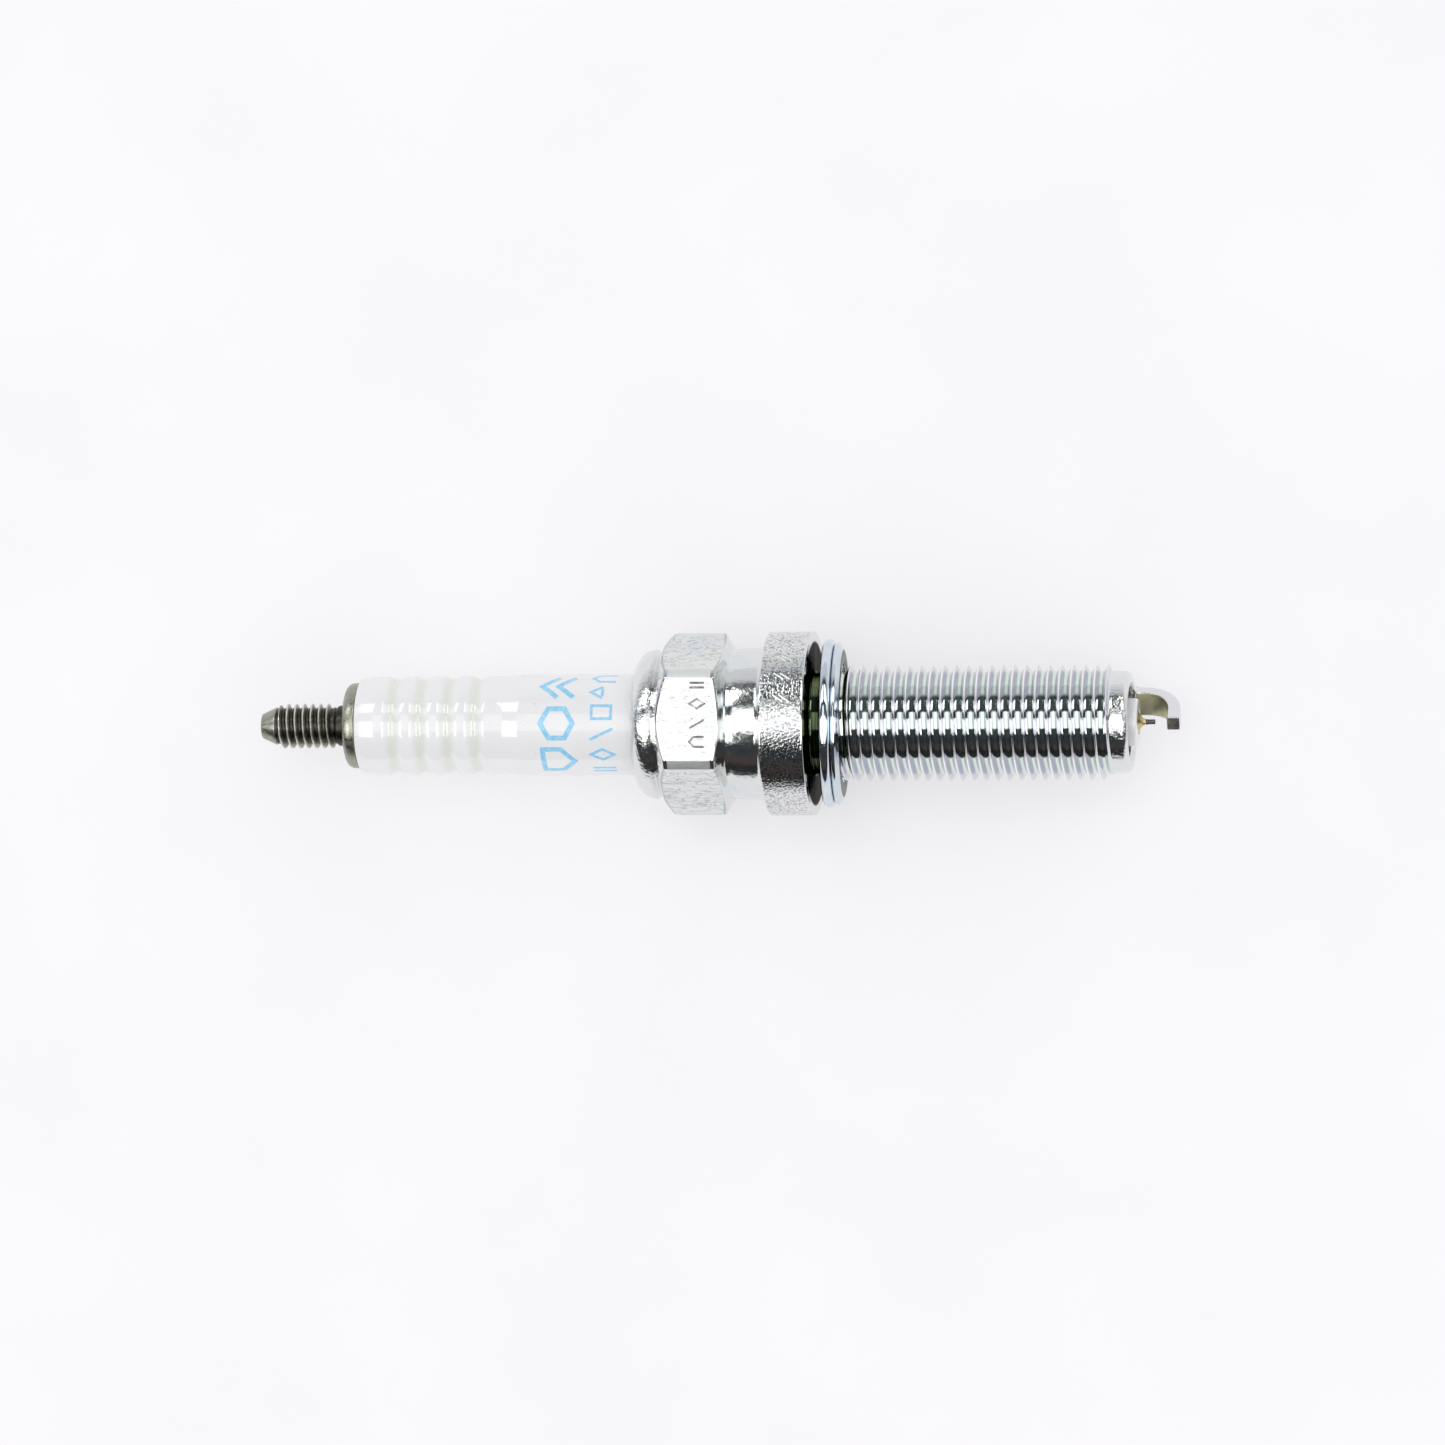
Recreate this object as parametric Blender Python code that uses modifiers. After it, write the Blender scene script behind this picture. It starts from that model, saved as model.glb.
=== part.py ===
"""Long-reach spark plug with an M10 x 1.0 thread and a 14 mm hexagon, lying on its side.

The plug's axis runs along world X, with the terminal at -X and the firing end at +X, and the world
origin is under the middle of the object, on the surface that its flange touches. Every sub-part is
modelled upright in the frame of the empty plug_axis. There Z is the station, the distance from a
datum plane 0.3 mm in front of the flange, positive towards the firing end, and a turned outline is a
list of (station, radius) points that runs down the outer side and, on a hollow piece, back up the bore.
"""

import math

import bmesh
import bpy
from mathutils import Matrix, Vector

MM = 0.001

# Overall lengths, measured from the datum plane
TERMINAL_REACH = 48.3 * MM
STRAP_REACH = 30.8 * MM
THREAD_REACH = 26.75 * MM

# Room between pieces that touch or are fused on the real plug
FIT_GAP = 0.05 * MM

# Usual chamfers, and the angle above which an edge stays sharp
CHAMFER = 0.25 * MM
SMALL_CHAMFER = 0.1 * MM
SHARP_ANGLE = math.radians(32)

# Facets round the turned pieces
STEPS = 32
SMALL_STEPS = 20

# M10 x 1.0 mounting thread, right-handed, with the crest facing +Y at FIRST_CREST
PITCH = 1.0 * MM
CREST_RADIUS = 4.95 * MM
ROOT_RADIUS = 4.34 * MM
FIRST_CREST = 2.81 * MM
THREAD_BACK = 1.9 * MM
THREAD_FRONT = 25.4 * MM
RUN_OUT = 0.5 * MM
NOSE_RADIUS = 4.32 * MM
RELIEF_RADIUS = 4.3 * MM

# Flange that the gasket seats against
FLANGE_RADIUS = 7.825 * MM
FLANGE_FRONT = -0.3 * MM
FLANGE_BACK = -4.1 * MM
EDGE_ROUND = 0.15 * MM

# Thin neck that the hot crimp shortens, between flange and hexagon
NECK_RADIUS = 6.475 * MM

# Hexagon
HEX_ACROSS_FLATS = 13.8 * MM
HEX_CORNER_RADIUS = 7.75 * MM
HEX_FRONT = -7.39 * MM
HEX_BACK = -13.61 * MM
HEX_FRONT_CHAMFER = 0.56 * MM
HEX_BACK_CHAMFER = 1.35 * MM
HEX_CHAMFER_RADIUS = 6.3 * MM

# Crimped collar that closes over the insulator
CRIMP_RADIUS = 6.4 * MM
CRIMP_START = -13.7 * MM
CRIMP_END = -15.54 * MM
CRIMP_LIP_RADIUS = 4.5 * MM
LIP_UNDERSIDE = -14.9 * MM

# Shell bore
LARGE_BORE = 5.45 * MM
MIDDLE_BORE = 3.75 * MM
NOSE_BORE = 3.1 * MM
LARGE_BORE_END = -3.4 * MM
MIDDLE_BORE_START = -1.9 * MM
SEAT_START = 13.75 * MM
SEAT_SLOPE = 0.941

# Insulator
INSULATOR_TIP = 27.35 * MM
INSULATOR_TIP_RADIUS = 2.0 * MM
NOSE_ROOT = 14.0 * MM
NOSE_ROOT_RADIUS = 2.75 * MM
BODY_END = 13.2 * MM
BODY_RADIUS = 3.6 * MM
SHOULDER_FRONT = -2.4 * MM
SHOULDER_RADIUS = 5.2 * MM
SHOULDER_START = -3.9 * MM
SHOULDER_END = -9.8 * MM
BARREL_START = -10.2 * MM
BARREL_RADIUS = 4.35 * MM
BARREL_END = -27.4 * MM
RIB_RADIUS = 4.25 * MM
GROOVE_DEPTH = 0.34 * MM
GROOVE_HALF_WIDTH = 0.95 * MM
GROOVE_STATIONS = [(-29.15 - 2.39 * number) * MM for number in range(4)]
HEAD_RADIUS = 4.0 * MM
WIDE_BORE = 1.65 * MM
NARROW_BORE = 1.05 * MM
BORE_STEP = 6.5 * MM

# Terminal stud, M4 x 0.7
COLLAR_FRONT = -39.66 * MM
COLLAR_BACK = -40.8 * MM
COLLAR_RADIUS = 3.665 * MM
COLLAR_ROUND = 0.6 * MM
STUD_NECK_RADIUS = 1.725 * MM
NECK_FILLET = 0.25 * MM
STUD_PITCH = 0.7 * MM
STUD_CREST_RADIUS = 1.935 * MM
STUD_ROOT_RADIUS = 1.5 * MM
STUD_THREAD_BACK = -47.0 * MM
STUD_THREAD_FRONT = -41.85 * MM
STUD_FIRST_CREST = -46.04 * MM
STUD_RUN_OUT = 0.3 * MM
STUD_TIP_RADIUS = 1.05 * MM
SHANK_RADIUS = 1.5 * MM
SHANK_END = -12.0 * MM
KNURL_RADIUS = 1.1 * MM
KNURL_END = -9.0 * MM

# Conductors fused in the insulator's bore
FILL_RADIUS = 1.6 * MM
RESISTOR_BACK = -6.0 * MM
RESISTOR_FRONT = 2.0 * MM
LOWER_SEAL_FRONT = 6.4 * MM

# Centre electrode
ELECTRODE_RADIUS = 0.95 * MM
ELECTRODE_TOP = 4.6 * MM
HEAD_STATION = 5.8 * MM
ELECTRODE_HEAD_RADIUS = 1.4 * MM
ELECTRODE_TIP = 27.9 * MM
ELECTRODE_TIP_RADIUS = 0.27 * MM
CORE_RADIUS = 0.55 * MM
CORE_END = 22.0 * MM
IRIDIUM_RADIUS = 0.22 * MM
IRIDIUM_END = 28.74 * MM

# Ground electrode, a flat strap welded to the shell's end face
STRAP_AZIMUTH = math.radians(148.5)
STRAP_RADIUS = 3.7 * MM
STRAP_WIDTH = 2.0 * MM
STRAP_TIP_WIDTH = 1.2 * MM
STRAP_THICKNESS = 1.05 * MM
STRAP_BEND_RADIUS = 2.0 * MM
STRAP_PAST_AXIS = 0.35 * MM
STRAP_EDGE_ROUND = 0.12 * MM

# Filler powder and the wire rings on both sides of it
RING_RADIUS = 4.9 * MM
RING_WIRE_RADIUS = 0.45 * MM
UPPER_RING_STATION = -13.98 * MM
LOWER_RING_STATION = -10.52 * MM

# Folded sealing gasket, loose between the flange and the thread. It leans a little, with its upper
# side forward, and the stations here are those on the plug's axis.
GASKET_LEAN = math.radians(3.7)
GASKET_BACK = 0.5 * MM
GASKET_FRONT = 2.2 * MM
GASKET_INNER_RADIUS = 5.1 * MM
GASKET_SEAT_RADIUS = 6.25 * MM
BACK_LOBE_STATION = 1.0 * MM
BACK_LOBE_RADIUS = 7.2 * MM
FRONT_LOBE_STATION = 1.74 * MM
FRONT_LOBE_RADIUS = 6.95 * MM
FOLD_STATION = 1.44 * MM
FOLD_RADIUS = 6.72 * MM
CLAW_COUNT = 3
CLAW_SIZE = Vector((0.9 * MM, 1.1 * MM, 0.4 * MM))
CLAW_RADIUS = 4.72 * MM
CLAW_STATION = 1.05 * MM

AXIS_HEIGHT = FLANGE_RADIUS
SEAT_X = (TERMINAL_REACH - STRAP_REACH) / 2


def clear_scene():
    for obj in list(bpy.data.objects):
        bpy.data.objects.remove(obj, do_unlink=True)


def new_collection(name):
    collection = bpy.data.collections.new(name)
    bpy.context.scene.collection.children.link(collection)
    return collection


def new_material(name, colour, roughness, metallic):
    material = bpy.data.materials.new(name)
    material.use_nodes = True
    shader = material.node_tree.nodes["Principled BSDF"]
    shader.inputs["Base Color"].default_value = (*colour, 1.0)
    shader.inputs["Roughness"].default_value = roughness
    shader.inputs["Metallic"].default_value = metallic
    material.diffuse_color = (*colour, 1.0)
    return material


clear_scene()
PARTS = new_collection("spark_plug")
CUTTERS = new_collection("cutters")

PLUG_AXIS = bpy.data.objects.new("plug_axis", None)
PLUG_AXIS.empty_display_size = 10 * MM
PLUG_AXIS.location = (SEAT_X, 0, AXIS_HEIGHT)
PLUG_AXIS.rotation_euler = (0, math.pi / 2, 0)
PARTS.objects.link(PLUG_AXIS)


def add_object(name, mesh, station=0.0, spin=0.0, collection=PARTS):
    """An object on the plug's axis, moved along it to a station and turned about it."""
    obj = bpy.data.objects.new(name, mesh)
    collection.objects.link(obj)
    obj.parent = PLUG_AXIS
    obj.location = (0, 0, station)
    obj.rotation_euler = (0, 0, spin)
    if collection is CUTTERS:
        obj.hide_render = True
        obj.display_type = "WIRE"
    return obj


def apply_modifiers(obj):
    """Replaces the object's mesh by what its modifiers make of it."""
    bpy.context.view_layer.update()
    graph = bpy.context.evaluated_depsgraph_get()
    mesh = bpy.data.meshes.new_from_object(obj.evaluated_get(graph))
    obj.modifiers.clear()
    before = obj.data
    obj.data = mesh
    bpy.data.meshes.remove(before)
    mesh.name = obj.name
    return obj


def shade(obj, material):
    """Gives the finished piece its material, and smooth shading with sharp corners."""
    mesh = obj.data
    mesh.materials.clear()
    mesh.materials.append(material)
    mesh.shade_smooth()
    mesh.set_sharp_from_angle(angle=SHARP_ANGLE)
    return obj


def turned(name, outline, closed=False, steps=STEPS, **place):
    """A body turned about the axis. An outline that isn't closed starts and ends on the axis."""
    mesh = bpy.data.meshes.new(name)
    points = [(radius, 0, station) for station, radius in outline]
    edges = [(i, i + 1) for i in range(len(points) - 1)]
    if closed:
        edges.append((len(points) - 1, 0))
    mesh.from_pydata(points, edges, [])
    obj = add_object(name, mesh, **place)
    screw = obj.modifiers.new("turn", "SCREW")
    screw.axis = "Z"
    screw.angle = 2 * math.pi
    screw.steps = steps
    screw.render_steps = steps
    screw.use_merge_vertices = True
    screw.merge_threshold = 0.001 * MM
    return apply_modifiers(obj)


def arc(station, radius, along, across, start, end, count):
    """Outline points on a quarter or half ellipse about (station, radius), angles in degrees from
    the +station direction towards +radius."""
    points = []
    for i in range(count + 1):
        angle = math.radians(start + (end - start) * i / count)
        points.append((station + along * math.cos(angle), radius + across * math.sin(angle)))
    return points


def combine(target, other, operation):
    """Joins another body to the target, or keeps only what both share."""
    boolean = target.modifiers.new(operation.lower(), "BOOLEAN")
    boolean.operation = operation
    boolean.solver = "EXACT"
    boolean.object = other
    return apply_modifiers(target)


def row_of_vertices(solid, steps, place):
    """Vertices once round the axis, where place(angle) gives each one's station and radius."""
    row = []
    for i in range(steps + 1):
        angle = 2 * math.pi * i / steps
        station, radius = place(angle)
        row.append(solid.verts.new((radius * math.cos(angle), radius * math.sin(angle), station)))
    return row


def bridge(solid, upper, lower):
    for i in range(len(upper) - 1):
        solid.faces.new((upper[i], lower[i], lower[i + 1], upper[i + 1]))


def thread_rows(solid, steps, thread):
    """Rows along the crests and roots of a right-handed thread, from its front to its back. Each
    climbs one pitch a turn, is held within the threaded stretch, and sinks to the root at its ends."""
    half_pitch = thread["pitch"] / 2
    crest_at_zero = thread["crest_station"] - thread["pitch"] / 4
    first = math.ceil((thread["front"] - crest_at_zero) / half_pitch)
    last = math.floor((thread["back"] - thread["pitch"] - crest_at_zero) / half_pitch)
    rows = []
    for number in range(first, last - 1, -1):
        height = (thread["crest"] - thread["root"]) * (number % 2 == 0)

        def place(angle, number=number, height=height):
            station = crest_at_zero + half_pitch * (number + angle / math.pi)
            station = min(max(station, thread["back"]), thread["front"])
            room = min(station - thread["back"], thread["front"] - station)
            return station, thread["root"] + height * min(1.0, room / thread["run_out"])

        rows.append(row_of_vertices(solid, steps, place))
    return rows


def threaded_body(name, before, thread, after, closed, steps):
    """A turned body with one threaded stretch between two plain ones. A closed one is a loop
    round a bore, and the other kind is capped at both ends."""
    solid = bmesh.new()
    front = [row_of_vertices(solid, steps, lambda angle, point=point: point) for point in before]
    back = [row_of_vertices(solid, steps, lambda angle, point=point: point) for point in after]
    for rows in (front, thread_rows(solid, steps, thread), back):
        for upper, lower in zip(rows, rows[1:]):
            bridge(solid, upper, lower)
    if closed:
        bridge(solid, back[-1], front[0])
    else:
        solid.faces.new(front[0][:-1])
        solid.faces.new(back[-1][:-1])
    bmesh.ops.remove_doubles(solid, verts=solid.verts, dist=0.0001 * MM)
    bmesh.ops.recalc_face_normals(solid, faces=solid.faces)
    mesh = bpy.data.meshes.new(name)
    solid.to_mesh(mesh)
    solid.free()
    return add_object(name, mesh)


def hexagon_ring():
    """The hexagon with its turned chamfers, hollow so that the shell's bore stays open."""
    inside = (CRIMP_RADIUS + LARGE_BORE) / 2
    prism_length = 3 * (HEX_FRONT - HEX_BACK)
    ring = turned(
        "hexagon_blank",
        [
            (HEX_FRONT, HEX_CHAMFER_RADIUS),
            (HEX_FRONT - HEX_FRONT_CHAMFER, HEX_CORNER_RADIUS),
            (HEX_BACK + HEX_BACK_CHAMFER, HEX_CORNER_RADIUS),
            (HEX_BACK, HEX_CHAMFER_RADIUS - CHAMFER),
            (HEX_BACK, inside),
            (HEX_FRONT, inside),
        ],
        closed=True,
        collection=CUTTERS,
    )
    prism = bpy.data.meshes.new("hexagon_prism")
    solid = bmesh.new()
    bmesh.ops.create_cone(
        solid,
        cap_ends=True,
        segments=6,
        radius1=HEX_ACROSS_FLATS / math.sqrt(3),
        radius2=HEX_ACROSS_FLATS / math.sqrt(3),
        depth=prism_length,
        matrix=Matrix.Translation((0, 0, HEX_BACK)),
    )
    solid.to_mesh(prism)
    solid.free()
    cutter = add_object("hexagon_prism", prism, collection=CUTTERS)
    return combine(ring, cutter, "INTERSECT")


def metal_shell(material):
    """Steel shell: threaded body, flange, crimp neck, hexagon and the collar rolled over."""
    nose = [
        (SEAT_START, MIDDLE_BORE),
        (SEAT_START + SEAT_SLOPE * (MIDDLE_BORE - NOSE_BORE), NOSE_BORE),
        (THREAD_REACH, NOSE_BORE),
        (THREAD_REACH, NOSE_RADIUS - CHAMFER),
        (THREAD_REACH - CHAMFER, NOSE_RADIUS),
        (THREAD_FRONT, ROOT_RADIUS),
    ]
    thread = {
        "pitch": PITCH,
        "crest": CREST_RADIUS,
        "root": ROOT_RADIUS,
        "crest_station": FIRST_CREST,
        "front": THREAD_FRONT,
        "back": THREAD_BACK,
        "run_out": RUN_OUT,
    }
    body = [
        (THREAD_BACK, ROOT_RADIUS),
        (FLANGE_FRONT, RELIEF_RADIUS),
        (FLANGE_FRONT, FLANGE_RADIUS - EDGE_ROUND),
        (FLANGE_FRONT - EDGE_ROUND, FLANGE_RADIUS),
        (FLANGE_BACK + EDGE_ROUND, FLANGE_RADIUS),
        (FLANGE_BACK, FLANGE_RADIUS - EDGE_ROUND),
        (FLANGE_BACK, NECK_RADIUS + CHAMFER),
        (FLANGE_BACK - CHAMFER, NECK_RADIUS),
        (HEX_FRONT + 2 * CHAMFER, NECK_RADIUS),
        (HEX_FRONT + CHAMFER, CRIMP_RADIUS),
    ]
    dome = arc(
        CRIMP_START,
        CRIMP_LIP_RADIUS,
        CRIMP_START - CRIMP_END,
        CRIMP_RADIUS - CRIMP_LIP_RADIUS,
        90,
        180,
        5,
    )
    bore = [
        (CRIMP_END, BARREL_RADIUS + FIT_GAP),
        (LIP_UNDERSIDE, BARREL_RADIUS + FIT_GAP),
        (LIP_UNDERSIDE + 0.6 * MM, LARGE_BORE),
        (LARGE_BORE_END, LARGE_BORE),
        (MIDDLE_BORE_START, MIDDLE_BORE),
    ]
    shell = threaded_body("metal_shell", nose, thread, body + dome + bore, True, STEPS)
    combine(shell, hexagon_ring(), "UNION")
    return shade(shell, material)


def strap_path():
    """Middle line of the ground electrode as (radius, station, direction), from weld to tip."""
    bend_start = STRAP_REACH - STRAP_THICKNESS / 2 - STRAP_BEND_RADIUS
    bend_centre = STRAP_RADIUS - STRAP_BEND_RADIUS
    path = [(STRAP_RADIUS, THREAD_REACH + FIT_GAP, 0.0)]
    for i in range(9):
        angle = math.pi / 2 * i / 8
        radius = bend_centre + STRAP_BEND_RADIUS * math.cos(angle)
        path.append((radius, bend_start + STRAP_BEND_RADIUS * math.sin(angle), angle))
    path.append((-STRAP_PAST_AXIS, STRAP_REACH - STRAP_THICKNESS / 2, math.pi / 2))
    return path


def ground_electrode(material):
    """A flat strap bent over the tip, narrowing towards its free end: a loft of rectangles."""
    solid = bmesh.new()
    rings = []
    path = strap_path()
    for radius, station, angle in path:
        share = min(1.0, max(0.0, (STRAP_RADIUS - radius) / STRAP_RADIUS))
        half_width = (STRAP_WIDTH + (STRAP_TIP_WIDTH - STRAP_WIDTH) * share) / 2
        across = Vector((math.cos(angle), 0, math.sin(angle))) * STRAP_THICKNESS / 2
        middle = Vector((radius, 0, station))
        corners = [
            middle + across + Vector((0, half_width, 0)),
            middle - across + Vector((0, half_width, 0)),
            middle - across - Vector((0, half_width, 0)),
            middle + across - Vector((0, half_width, 0)),
        ]
        rings.append([solid.verts.new(corner) for corner in corners])
    for first, second in zip(rings, rings[1:]):
        for i in range(4):
            solid.faces.new((first[i], first[(i + 1) % 4], second[(i + 1) % 4], second[i]))
    solid.faces.new(rings[0])
    solid.faces.new(rings[-1])
    bmesh.ops.recalc_face_normals(solid, faces=solid.faces)
    mesh = bpy.data.meshes.new("ground_electrode")
    solid.to_mesh(mesh)
    solid.free()
    obj = add_object("ground_electrode", mesh, spin=math.pi - STRAP_AZIMUTH)
    bevel = obj.modifiers.new("edges", "BEVEL")
    bevel.width = STRAP_EDGE_ROUND
    bevel.segments = 2
    bevel.limit_method = "ANGLE"
    bevel.angle_limit = math.radians(40)
    return shade(apply_modifiers(obj), material)


def ribbed_outline():
    """The insulator's outer side along its ribs, with a rounded groove at each groove station."""
    points = []
    for centre in GROOVE_STATIONS:
        for i in range(7):
            offset = GROOVE_HALF_WIDTH * (1 - i / 3)
            depth = GROOVE_DEPTH * (1 + math.cos(math.pi * offset / GROOVE_HALF_WIDTH)) / 2
            points.append((centre + offset, RIB_RADIUS - depth))
    return points


def insulator(material):
    """Glazed alumina body with its long nose, sealing shoulder, ribs and stepped bore."""
    head_end = COLLAR_FRONT + FIT_GAP
    outer = [
        (INSULATOR_TIP, INSULATOR_TIP_RADIUS - CHAMFER),
        (INSULATOR_TIP - SMALL_CHAMFER, INSULATOR_TIP_RADIUS - SMALL_CHAMFER),
        (INSULATOR_TIP - CHAMFER, INSULATOR_TIP_RADIUS),
        (NOSE_ROOT, NOSE_ROOT_RADIUS),
        (BODY_END, BODY_RADIUS),
        (SHOULDER_FRONT, BODY_RADIUS),
        (SHOULDER_START, SHOULDER_RADIUS),
        (SHOULDER_END, SHOULDER_RADIUS),
        (BARREL_START, BARREL_RADIUS),
        (BARREL_END, BARREL_RADIUS),
    ]
    head = [
        (GROOVE_STATIONS[-1] - GROOVE_HALF_WIDTH - CHAMFER, HEAD_RADIUS + SMALL_CHAMFER),
        (head_end + CHAMFER, HEAD_RADIUS),
        (head_end, HEAD_RADIUS - CHAMFER),
    ]
    bore = [
        (head_end, WIDE_BORE),
        (BORE_STEP, WIDE_BORE),
        (BORE_STEP + WIDE_BORE - NARROW_BORE, NARROW_BORE),
        (INSULATOR_TIP, NARROW_BORE),
    ]
    body = turned("insulator", outer + ribbed_outline() + head + bore, closed=True)
    return shade(body, material)


def terminal_stud(material):
    """Steel stud with its threaded end, disc collar and the shank that the glass seal grips."""
    shank = [
        (KNURL_END, KNURL_RADIUS - CHAMFER),
        (KNURL_END - CHAMFER, KNURL_RADIUS),
        (SHANK_END, KNURL_RADIUS),
        (SHANK_END - CHAMFER, SHANK_RADIUS),
        (COLLAR_FRONT, SHANK_RADIUS),
        (COLLAR_FRONT, COLLAR_RADIUS - SMALL_CHAMFER),
        (COLLAR_FRONT - SMALL_CHAMFER, COLLAR_RADIUS),
    ]
    collar = arc(
        COLLAR_BACK + COLLAR_ROUND,
        COLLAR_RADIUS - COLLAR_ROUND,
        COLLAR_ROUND,
        COLLAR_ROUND,
        90,
        180,
        4,
    )
    neck = [
        (COLLAR_BACK, STUD_CREST_RADIUS + NECK_FILLET / 4),
        (COLLAR_BACK - NECK_FILLET, STUD_NECK_RADIUS),
        (STUD_THREAD_FRONT + CHAMFER, STUD_NECK_RADIUS),
        (STUD_THREAD_FRONT, STUD_ROOT_RADIUS),
    ]
    thread = {
        "pitch": STUD_PITCH,
        "crest": STUD_CREST_RADIUS,
        "root": STUD_ROOT_RADIUS,
        "crest_station": STUD_FIRST_CREST,
        "front": STUD_THREAD_FRONT,
        "back": STUD_THREAD_BACK,
        "run_out": STUD_RUN_OUT,
    }
    tip = [
        (STUD_THREAD_BACK, STUD_ROOT_RADIUS),
        (STUD_THREAD_BACK - SMALL_CHAMFER, STUD_NECK_RADIUS - SMALL_CHAMFER),
        (-TERMINAL_REACH + SMALL_CHAMFER, STUD_TIP_RADIUS),
        (-TERMINAL_REACH, STUD_TIP_RADIUS - SMALL_CHAMFER),
    ]
    before = shank + collar + neck
    stud = threaded_body("terminal_stud", before, thread, tip, False, SMALL_STEPS)
    return shade(stud, material)


def upper_glass_seal(material):
    """Conductive glass that grips the stud's end, with the socket that the stud left in it."""
    back = SHANK_END + FIT_GAP
    outline = [
        (RESISTOR_BACK - FIT_GAP, 0.0),
        (RESISTOR_BACK - FIT_GAP, FILL_RADIUS),
        (back, FILL_RADIUS),
        (back, KNURL_RADIUS + FIT_GAP),
        (KNURL_END + FIT_GAP, KNURL_RADIUS + FIT_GAP),
        (KNURL_END + FIT_GAP, 0.0),
    ]
    return shade(turned("upper_glass_seal", outline, steps=SMALL_STEPS), material)


def resistor(material):
    """Sintered carbon and glass slug that damps radio noise."""
    outline = [
        (RESISTOR_FRONT, 0.0),
        (RESISTOR_FRONT, FILL_RADIUS),
        (RESISTOR_BACK, FILL_RADIUS),
        (RESISTOR_BACK, 0.0),
    ]
    return shade(turned("resistor", outline, steps=SMALL_STEPS), material)


def lower_glass_seal(material):
    """Conductive glass between the resistor and the centre electrode's head."""
    head_back = HEAD_STATION - FIT_GAP
    outline = [
        (LOWER_SEAL_FRONT, FILL_RADIUS),
        (RESISTOR_FRONT + FIT_GAP, FILL_RADIUS),
        (RESISTOR_FRONT + FIT_GAP, 0.0),
    ]
    socket = [
        (ELECTRODE_TOP - FIT_GAP, 0.0),
        (ELECTRODE_TOP - FIT_GAP, ELECTRODE_RADIUS + FIT_GAP),
        (head_back, ELECTRODE_RADIUS + FIT_GAP),
        (head_back, ELECTRODE_HEAD_RADIUS + FIT_GAP),
        (LOWER_SEAL_FRONT, ELECTRODE_HEAD_RADIUS + FIT_GAP),
    ]
    return shade(turned("lower_glass_seal", socket + outline, steps=SMALL_STEPS), material)


def center_electrode(material):
    """Nickel alloy electrode, drawn to a fine flared tip, with a blind bore for its copper core."""
    flare_length = ELECTRODE_TIP - INSULATOR_TIP + FIT_GAP
    flare = []
    for i in range(7):
        share = i / 6
        radius = ELECTRODE_TIP_RADIUS + (ELECTRODE_RADIUS - ELECTRODE_TIP_RADIUS) * share**2
        flare.append((ELECTRODE_TIP - flare_length * share, radius))
    cone_end = HEAD_STATION + 1.2 * MM
    outline = [
        (ELECTRODE_TIP, 0.0),
        *flare,
        (cone_end, ELECTRODE_RADIUS),
        (cone_end - ELECTRODE_HEAD_RADIUS + ELECTRODE_RADIUS, ELECTRODE_HEAD_RADIUS),
        (HEAD_STATION, ELECTRODE_HEAD_RADIUS),
        (HEAD_STATION, ELECTRODE_RADIUS),
        (ELECTRODE_TOP, ELECTRODE_RADIUS),
        (ELECTRODE_TOP, CORE_RADIUS + FIT_GAP),
        (CORE_END, CORE_RADIUS + FIT_GAP),
        (CORE_END + CORE_RADIUS, 0.0),
    ]
    return shade(turned("center_electrode", outline, steps=SMALL_STEPS), material)


def copper_core(material):
    """Copper rod inside the centre electrode, which carries its heat away."""
    outline = [
        (CORE_END + CORE_RADIUS - 2 * FIT_GAP, 0.0),
        (CORE_END - FIT_GAP, CORE_RADIUS),
        (ELECTRODE_TOP, CORE_RADIUS),
        (ELECTRODE_TOP, 0.0),
    ]
    return shade(turned("copper_core", outline, steps=16), material)


def iridium_tip(material):
    """Fine iridium pin welded to the centre electrode's tip."""
    outline = [
        (IRIDIUM_END, 0.0),
        (IRIDIUM_END, IRIDIUM_RADIUS),
        (ELECTRODE_TIP + FIT_GAP, IRIDIUM_RADIUS),
        (ELECTRODE_TIP + FIT_GAP, 0.0),
    ]
    return shade(turned("iridium_tip", outline, steps=16), material)


def talc_filler(material):
    """Pressed talc powder between the insulator's barrel and the shell."""
    front = LOWER_RING_STATION - RING_WIRE_RADIUS - FIT_GAP
    back = UPPER_RING_STATION + RING_WIRE_RADIUS + FIT_GAP
    outline = [
        (front, LARGE_BORE - FIT_GAP),
        (back, LARGE_BORE - FIT_GAP),
        (back, BARREL_RADIUS + FIT_GAP),
        (front, BARREL_RADIUS + FIT_GAP),
    ]
    return shade(turned("talc_filler", outline, closed=True), material)


def packing_ring(name, station, material):
    """A wire ring that keeps the filler in."""
    outline = arc(0.0, RING_RADIUS, RING_WIRE_RADIUS, RING_WIRE_RADIUS, 0, 360, 8)[:-1]
    ring = turned(name, outline, closed=True, steps=SMALL_STEPS, station=station)
    return shade(ring, material)


def seat_packing(material):
    """Thin conical washer that seals the insulator on the shell's inner seat."""
    outside = MIDDLE_BORE - FIT_GAP
    inside = NOSE_BORE + FIT_GAP
    front = SEAT_START - 1.5 * FIT_GAP
    back = BODY_END + SEAT_SLOPE * (BODY_RADIUS - outside) + 1.5 * FIT_GAP
    slope = SEAT_SLOPE * (outside - inside)
    outline = [
        (front + slope, inside),
        (front, outside),
        (back, outside),
        (back + slope, inside),
    ]
    return shade(turned("seat_packing", outline, closed=True), material)


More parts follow.
